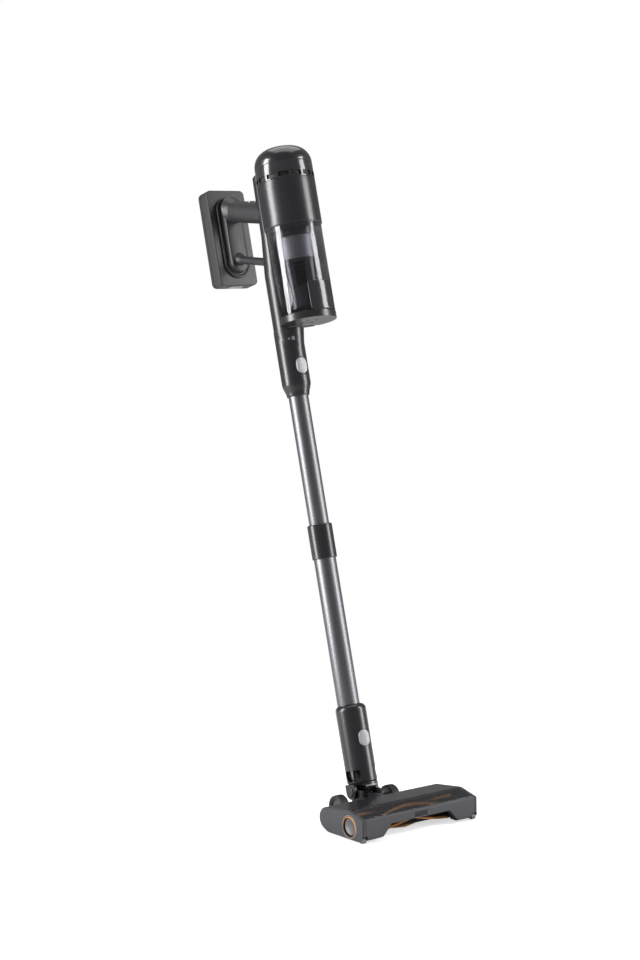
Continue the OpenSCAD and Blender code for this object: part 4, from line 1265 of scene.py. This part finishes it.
@dataclass
class Wand(Part):
    """The two tubes, their collar and the lower connector."""

    key_half_angle: float = 0.16
    key_deep: float = 0.45
    upper_wall: float = 1.2
    lower_wall: float = 1.3

    def build(self) -> None:
        """Makes every piece of the wand."""
        self.tube("upper_tube", "wand_upper")
        self.tube("lower_tube", "wand_lower")
        self.soften(Role.HOUSING, 0.7, "telescope_collar", "lower_connector")
        self.soften(Role.HOUSING, 0.5, "neck_pins")
        self.soften(Role.SILVER, 0.3, "connector_rim", "lock_button")
        oval_button(self, "head_release_button", "foot_button")

    def tube(self, node: str, name: str) -> None:
        """A drawn tube: a lathe with a shallow key pressed along its back."""
        lo, hi = self.span(node)
        r, z0, z1 = hi[0], lo[2], hi[2]
        wall = self.upper_wall if node == "upper_tube" else self.lower_wall
        profile = open_tube(r, wall, (z0, z1), 0.3, 0.4)

        def dip(t: np.ndarray, z: np.ndarray, rad: np.ndarray) -> np.ndarray:
            """The key: a shallow flat-bottomed channel down the back."""
            back = np.abs(np.abs(around_front(t)) - math.pi)
            side = soft_step(back, self.key_half_angle * 0.7, self.key_half_angle)
            return np.where(rad > r - wall / 2, self.key_deep * (1 - side), 0)

        self.stand_in(name, lathe(profile, 160, dip), Role.WAND, node, sharp=60)


@dataclass
class Neck(Part):
    """The hose and the swivel between wand and floor head."""

    pitch: float = 3.4
    wave: float = 0.95
    bend: float = 24.0
    top_inset: float = 2.5

    def build(self) -> None:
        """Makes the swivel and the hose."""
        self.soften(Role.HOUSING, 0.6, "swivel_base")
        self.hose()

    def hose(self) -> None:
        """The hose follows a quarter bend from the head's tube up to the wand's axis.

        Its radius swings by a wave of one pitch, between the ridges and the folds of a bellows.
        """
        lo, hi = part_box("flex_hose")
        r_out = float(hi.x - lo.x) / 2 / MM
        z_low = np.array(self.frame.joint("neck_roll")["pos_m"])[2] / MM
        lean = self.frame.lean
        top = self.frame.stick.local(np.array([[0, hi.y, hi.z]]))[0, 2] - self.top_inset
        sweep = math.pi / 2 - lean
        start_z = self.frame.stick.world(np.array([[0, 0, top]]))[0] / MM
        run = (start_z[2] - z_low - self.bend * (1 - math.cos(sweep))) / math.cos(lean)
        y0 = start_z[1] - run * math.sin(lean) - self.bend * math.sin(sweep)
        total = self.bend * sweep + run
        s = np.linspace(0, total, 161)
        a = np.minimum(s / self.bend, sweep)
        rest = np.maximum(s - self.bend * sweep, 0)
        y = y0 + self.bend * np.sin(a) + rest * math.sin(lean)
        z = z_low + self.bend * (1 - np.cos(a)) + rest * math.cos(lean)
        path = np.column_stack([y, z])
        radius = r_out - 1.0 + self.wave * np.cos(s * TAU / self.pitch)
        surface = tube_along(path, radius, 48)
        body, other = self.frame.body_of("flex_hose"), self.frame.body_of("swivel_base")
        mesh = bpy.data.meshes.new("bellows_hose")
        mesh.from_pydata(self.frame.head.world(surface[0]).tolist(), [], surface[1])
        tidy_mesh(mesh, 70, True)
        mesh.materials.append(self.finish[Role.RUBBER].material())
        hose = bpy.data.objects.new("bellows_hose", mesh)
        bpy.context.scene.collection.objects.link(hose)
        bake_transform(hose)
        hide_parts("flex_hose")
        LOG.info("bellows_hose: %d faces between %s and %s", len(mesh.polygons), body, other)


@dataclass
class FloorHead(Part):
    """The shell, window, brush, wheels and rollers of the floor head."""

    tuft: float = 2.6
    twist: float = 75.0
    strips: int = 4
    strip_half: float = 0.75
    tuft_notch: float = 0.1
    strip_foot: float = 0.4
    crescent_at: float = -40.0
    crescent_draw: float = 2.4
    axle_bore: float = 3.1
    tyre_thick: float = 5.2
    groove_deep: float = 0.5

    def build(self) -> None:
        """Makes every piece of the floor head."""
        self.soften(Role.HOUSING, 0.7, "head_base", "head_cover")
        self.soften(Role.BUMPER, 0.9, "front_bumper")
        self.soften(Role.CAP, 1.1, "end_cap_left", "end_cap_right")
        self.soften(Role.CLEAR, 0.4, "brush_window")
        self.soften(Role.LAMP, 0.4, "headlight")
        self.soften(Role.ROLLER, 0.7, "front_roller_left", "front_roller_right")
        self.soften(Role.ROLL, 0.5, "brush_core")
        self.side_ring()
        self.bristles()
        self.wheel("rear_wheel_left", -1)
        self.wheel("rear_wheel_right", 1)

    def axle_frame(self, x: float, y: float, z: float, side: int) -> Placement:
        """A frame whose z points out of the head's side, at a point on an axle."""
        if side < 0:
            axes = np.column_stack([(0, 0, 1), (0, 1, 0), (-1, 0, 0)]).astype(float)
        else:
            axes = np.column_stack([(0, 1, 0), (0, 0, 1), (1, 0, 0)]).astype(float)
        return Placement(np.array([x, y, z], float), axes)

    def side_ring(self) -> None:
        """The bearing cover: a grey bezel, an amber crescent in its throat and a steel dish.

        The crescent's inner edge is drawn in towards one side, so it is widest up and forward; where it
        narrows the black back shows, painted shade on the side of the ring away from the light.
        """
        lo, hi = self.span("side_ring", self.frame.head)
        y, z = (lo[1] + hi[1]) / 2, (lo[2] + hi[2]) / 2
        r = (hi[1] - lo[1]) / 2
        place = self.axle_frame(float(hi[0]), y, z, -1)
        deep = float(hi[0] - lo[0])
        bezel = fillet(
            [
                (r - 2.6, 0, 0),
                (r, 0, 0),
                (r, deep, 0.7),
                (r - 1.9, deep, 0.8),
                (r - 2.6, deep - 1.6, 0.4),
            ]
        )
        self.ring_piece("ring_bezel", bezel, place, Role.ROLLER, ("side_ring",))
        low = deep - 0.5
        throat = np.array(
            [[r - 2.7, low], [r - 2.7, low + 0.15], [r - 5.2, low - 0.05], [r - 5.2, low - 0.2]]
        )

        def crescent(t: np.ndarray, z: np.ndarray, rad: np.ndarray) -> np.ndarray:
            """Draws the inner edge outwards away from the crescent's middle."""
            # the amber narrows away from its lit upper front and the black back shows instead: painted
            # shade
            share = 0.5 + 0.5 * np.cos(t - math.radians(self.crescent_at))
            return np.where(rad < r - 4, -self.crescent_draw * (1 - share**1.6), 0)

        self.ring_piece("ring_crescent", throat, place, Role.AMBER, (), crescent)
        # the black back shows where the amber is drawn thin and in the gap: it stands in for the shade on
        # that side of the ring
        back = np.array(
            [[r - 2.8, -0.2], [r - 2.8, low - 0.25], [r - 3.3, low - 0.25], [r - 3.5, 0.5], [r - 6.6, 0.6],
             [r - 6.6, -0.2]]
        )
        self.ring_piece("ring_back", back, place, Role.LAMP)
        bowl = np.linspace(1, 0, 9)[:, None]
        dish = np.hstack([(r - 6.7) * bowl, 0.3 + 1.4 * bowl**2])
        dish = np.vstack([[[r - 6.0, 0.0], [r - 6.0, 1.7]], dish, [[0.0, 0.0]]])
        self.ring_piece("ring_dish", dish, place, Role.WAND)

    def ring_piece(
        self,
        name: str,
        profile: np.ndarray,
        place: Placement,
        role: Role,
        stands_for: tuple[str, ...] = (),
        dip=None,
    ) -> None:
        """One turned piece of the bearing cover, riding with the floor head.

        Args:
            name: the piece's name.
            profile: (r, z) rows about the cover's axis.
            place: the cover's frame.
            role: what the piece is made as.
            stands_for: CAD nodes that it replaces.
            dip: a function that takes a depth off the radius, or None.
        """
        rider = self.frame.body_of("side_ring")
        piece(name, lathe(profile, 96, dip), place, self.finish[role], rider, stands_for, 50)

    def bristles(self) -> None:
        """Each strip winds from the middle both ways, so two halves meet in a V.

        Along the roll the angle grows by the twist each side of the middle; across the strip the
        height is a rounded ridge, notched by a wave of one tuft's width.
        """
        lo, hi = self.span("bristle_strips", self.frame.head)
        core = self.span("brush_core", self.frame.head)
        y, z = (core[0][1] + core[1][1]) / 2, (core[0][2] + core[1][2]) / 2
        r_core = (core[1][1] - core[0][1]) / 2
        r_tip = max(hi[1] - y, y - lo[1], hi[2] - z)
        x = np.linspace(lo[0], hi[0], 241)
        mid, half = (lo[0] + hi[0]) / 2, (hi[0] - lo[0]) / 2
        base = np.radians(self.twist) * np.abs(x - mid) / half
        across = np.array([-1.0, -0.9, -0.55, 0.0, 0.55, 0.9, 1.0])
        rise = np.array([0.0, 0.82, 0.97, 1.0, 0.97, 0.82, 0.0])
        notch = self.tuft_notch * np.abs(np.sin(math.pi * x / self.tuft))[:, None]
        height = rise[None, :] * (1 - notch * (rise[None, :] > 0.5))
        radius = r_core - self.strip_foot + (r_tip - r_core + 0.3) * height
        points, faces = [], []
        n = len(across)
        for k in range(self.strips):
            turn = base[:, None] + k * TAU / self.strips + across[None, :] * self.strip_half / r_tip
            around = [y + radius * np.cos(turn), z + radius * np.sin(turn)]
            block = np.stack([x[:, None] + 0 * turn, *around], -1)
            start = sum(len(p) for p in points)
            last = start + (len(x) - 1) * n
            points.append(block.reshape(-1, 3))
            faces += (np.array(grid_faces(len(x), n, False, True)) + start).tolist()
            faces.append([start + i for i in range(n)][::-1])
            faces.append([last + i for i in range(n)])
        rows, head = (np.vstack(points), faces), self.frame.head
        self.stand_in("bristle_rows", rows, Role.BRISTLE, "bristle_strips", head, 60)

    def wheel(self, node: str, side: int) -> None:
        """A wheel is a lathe: a crowned tyre with two grooves, a dished hub and a small boss."""
        lo, hi = self.span(node, self.frame.head)
        y, z, r = (lo[1] + hi[1]) / 2, (lo[2] + hi[2]) / 2, (hi[2] - lo[2]) / 2
        w = hi[0] - lo[0]
        inner = hi[0] if side < 0 else lo[0]
        place = self.axle_frame(float(inner), y, z, side)
        bore, rim = self.axle_bore, r - self.tyre_thick
        tyre = fillet(
            [(rim - 0.2, 0.6, 0), (rim + 1, 0, 0.5), (r - 0.3, 0, 2.4), (r, w * 0.5, 8), (r - 0.3, w, 2.4),
             (rim + 1, w, 0.5), (rim - 0.2, w - 0.8, 0)]
        )

        def tread(t: np.ndarray, zz: np.ndarray, rad: np.ndarray) -> np.ndarray:
            """Two rings of a shallow wave round the tyre."""
            d = np.minimum(np.abs(zz - w * 0.33), np.abs(zz - w * 0.67))
            return np.where(rad > r - 2, self.groove_deep * (1 - soft_step(d, 0.3, 0.8)), 0)

        body = self.frame.body_of(node)
        crowned = lathe(dense(tyre, 0.5), 120, tread)
        self.stand_in(f"{node}_tyre", crowned, Role.TYRE, node, place, 50)
        hub = fillet(
            [
                (bore, 0.8, 0),
                (rim, 0.8, 0.3),
                (rim, w - 1.2, 0.5),
                (rim - 1.4, w - 1.0, 0.4),
                (rim - 1.8, w - 4.2, 1.0),
                (bore + 3.0, w - 4.2, 0.8),
                (bore + 2.4, w - 3.0, 0.5),
                (bore, w - 3.0, 0),
            ]
        )
        piece(f"{node}_hub", lathe(hub, 96), place, self.finish[Role.BUMPER], body, (), 45)


# ---------------------------------------------------------------- studio


@dataclass(frozen=True)
class SoftBox:
    """An area lamp of an even glow that faces the middle of the vacuum.

    It stands a distance away at a heading, turned left in degrees from the way to the camera,
    and a lift above the middle. Sizes are in metres.
    """

    name: str
    heading: float
    distance: float
    lift: float
    size: tuple[float, float]
    glow: float


BOXES = (
    # the tall box on the left draws the white strip down each tube
    SoftBox("box_left", 76.0, 3.2, 0.7, (1.1, 2.8), 15.0),
    # the dimmer box on the right draws the grey strip
    SoftBox("box_right", -84.0, 2.8, 0.6, (1.0, 2.8), 9.0),
    # the overhead box lights the roof of the floor head and the dome
    SoftBox("box_top", 180.0, 0.7, 2.6, (2.4, 2.4), 1.5),
)


@dataclass
class Studio:
    """Pale floor, soft boxes and the camera."""

    eye_mm: tuple[float, float, float] = (-2036.3, -2562.6, 901.5)
    azimuth: float = -36.38
    pitch: float = -5.705
    roll: float = -1.046
    lens_mm: float = 75.84
    sensor_mm: float = 36.0
    middle_m: tuple[float, float, float] = (0.0, 0.2, 0.6)
    room_tone: str = "#f4f4f6"
    room_glow: float = 0.22
    floor_tone: str = "#e8e8e8"
    floor_half_m: float = 14.0
    floor_lift: float = 0.62
    fade_from_m: float = 0.35
    fade_to_m: float = 0.9

    def build(self) -> None:
        """Sets up floor, sky, lamps and camera."""
        bpy.context.scene.view_settings.view_transform = "Standard"
        self.camera()
        self.sky()
        self.floor()
        for box in BOXES:
            self.soft_box(box)

    def heading(self, left: float) -> Vector:
        """Level direction from the object, turned left by degrees from the way to the camera."""
        a = math.radians(self.azimuth)
        right = Vector((math.cos(a), math.sin(a), 0))
        toward = Vector((math.sin(a), -math.cos(a), 0))
        t = math.radians(left)
        return toward * math.cos(t) - right * math.sin(t)

    def camera(self) -> None:
        """The camera stands at the eye, turned by azimuth, pitch and roll."""
        data = bpy.data.cameras.new("studio_camera")
        data.lens, data.sensor_width = self.lens_mm, self.sensor_mm
        data.clip_start, data.clip_end = 0.05, 60.0
        camera = bpy.data.objects.new("studio_camera", data)
        bpy.context.scene.collection.objects.link(camera)
        a, p, r = (math.radians(v) for v in (self.azimuth, self.pitch, self.roll))
        right = Vector((math.cos(a), math.sin(a), 0))
        level = Vector((-math.sin(a), math.cos(a), 0))
        up = Vector((0, 0, 1))
        forward = level * math.cos(p) + up * math.sin(p)
        over = up * math.cos(p) - level * math.sin(p)
        x = right * math.cos(r) + over * math.sin(r)
        y = -right * math.sin(r) + over * math.cos(r)
        turn = Matrix((x, y, -forward)).transposed()
        camera.matrix_world = Matrix.Translation(Vector(self.eye_mm) * MM) @ turn.to_4x4()
        bpy.context.scene.camera = camera

    def sky(self) -> None:
        """White behind everything, and a dim grey room for what the surfaces mirror."""
        world = bpy.data.worlds.new("studio_room")
        world.use_nodes = True
        bpy.context.scene.world = world
        tree = world.node_tree
        tree.nodes.clear()
        ray = add_node(tree, "ShaderNodeLightPath")
        room = add_node(
            tree,
            "ShaderNodeBackground",
            {"Color": linear(self.room_tone), "Strength": self.room_glow},
        )
        white = add_node(tree, "ShaderNodeBackground", {"Color": linear("#ffffff"), "Strength": 1.0})
        mix = add_node(
            tree,
            "ShaderNodeMixShader",
            links={0: ray.outputs["Is Camera Ray"], 1: room.outputs[0], 2: white.outputs[0]},
        )
        add_node(tree, "ShaderNodeOutputWorld", links={"Surface": mix.outputs[0]})

    def floor(self) -> None:
        """A wide pale floor that lifts its own tone a little, so only contact shadows show.

        To the camera it turns into plain white with distance, so it has no edge. Lamps and mirrors
        meet the plain paper.
        """
        half = self.floor_half_m
        mesh = bpy.data.meshes.new("studio_floor")
        ring = [(-half, -half, 0), (half, -half, 0), (half, half, 0), (-half, half, 0)]
        mesh.from_pydata(ring, [], [(0, 1, 2, 3)])
        pale = bpy.data.materials.new("floor_pale_paper")
        pale.use_nodes = True
        tree = pale.node_tree
        tree.nodes.clear()
        grain = add_node(
            tree,
            "ShaderNodeTexNoise",
            {"Scale": 400.0, "Detail": 2.0},
            {"Vector": add_node(tree, "ShaderNodeTexCoord").outputs["Object"]},
        )
        bump = add_node(
            tree,
            "ShaderNodeBump",
            {"Strength": 0.1, "Distance": 0.0002},
            {"Height": grain.outputs["Fac"]},
        )
        paper = add_node(
            tree,
            "ShaderNodeBsdfPrincipled",
            {"Base Color": linear(self.floor_tone), "Roughness": 0.9},
            {"Normal": bump.outputs["Normal"]},
        )
        lift = add_node(tree, "ShaderNodeEmission", {"Strength": self.floor_lift})
        lifted = add_node(
            tree, "ShaderNodeAddShader", links={0: paper.outputs[0], 1: lift.outputs[0]}
        )
        far = add_node(tree, "ShaderNodeEmission", {"Strength": 1.0})
        away = add_node(
            tree,
            "ShaderNodeVectorMath",
            {"operation": "LENGTH"},
            {0: add_node(tree, "ShaderNodeTexCoord").outputs["Object"]},
        )
        share = add_node(
            tree,
            "ShaderNodeMapRange",
            {
                "From Min": self.fade_from_m,
                "From Max": self.fade_to_m,
                "interpolation_type": "SMOOTHSTEP",
            },
            {"Value": away.outputs["Value"]},
        )
        seen = add_node(
            tree,
            "ShaderNodeMixShader",
            links={0: share.outputs["Result"], 1: lifted.outputs[0], 2: far.outputs[0]},
        )
        ray = add_node(tree, "ShaderNodeLightPath")
        shader = add_node(
            tree,
            "ShaderNodeMixShader",
            links={0: ray.outputs["Is Camera Ray"], 1: paper.outputs[0], 2: seen.outputs[0]},
        )
        add_node(tree, "ShaderNodeOutputMaterial", links={"Surface": shader.outputs[0]})
        mesh.materials.append(pale)
        floor = bpy.data.objects.new("studio_floor", mesh)
        bpy.context.scene.collection.objects.link(floor)

    def soft_box(self, box: SoftBox) -> None:
        """Hangs one soft box. Its power is pi times its area times its glow.

        Args:
            box: where it stands, its size and its glow.
        """
        target = Vector(self.middle_m)
        at = target + box.distance * self.heading(box.heading) + Vector((0, 0, box.lift))
        data = bpy.data.lights.new(box.name, "AREA")
        data.shape = "RECTANGLE"
        data.size, data.size_y = box.size
        data.energy = box.glow * math.pi * box.size[0] * box.size[1]
        lamp = bpy.data.objects.new(box.name, data)
        bpy.context.scene.collection.objects.link(lamp)
        lamp.location = at
        lamp.rotation_mode = "QUATERNION"
        lamp.rotation_quaternion = (target - at).to_track_quat("-Z", "Y")
        lamp.visible_camera = False


def dress_rest(frame: Frame, finish: dict[Role, Finish]) -> None:
    """Gives every CAD node that still shows the finish of its slot in the record."""
    by_slot = {f.slot: f for f in finish.values()}
    slots = {s["node"]: s["material_slot"] for s in frame.packed["record"]["subparts"]}
    for name, node in sorted(frame.packed["nodes"].items()):
        if not node.hide_render:
            dress(frame, name, by_slot[slots[name]])
            LOG.info("%s: CAD node in %s", name, slots[name])


def corners(box: tuple[Vector, Vector]) -> list[list[float]]:
    """A box as plain lists of numbers."""
    return [[float(v) for v in corner] for corner in box]


def main() -> None:
    """Builds the vacuum round its frame, then the studio."""
    logging.basicConfig(level=logging.INFO, format="%(name)s: %(message)s")
    frame = Frame(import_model())
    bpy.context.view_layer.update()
    finish = finishes(frame)
    for kind in (HandUnit, Handle, Wand, Neck, FloorHead):
        kind(frame, finish).build()
    dress_rest(frame, finish)
    Studio().build()


if __name__ == "__main__":
    main()
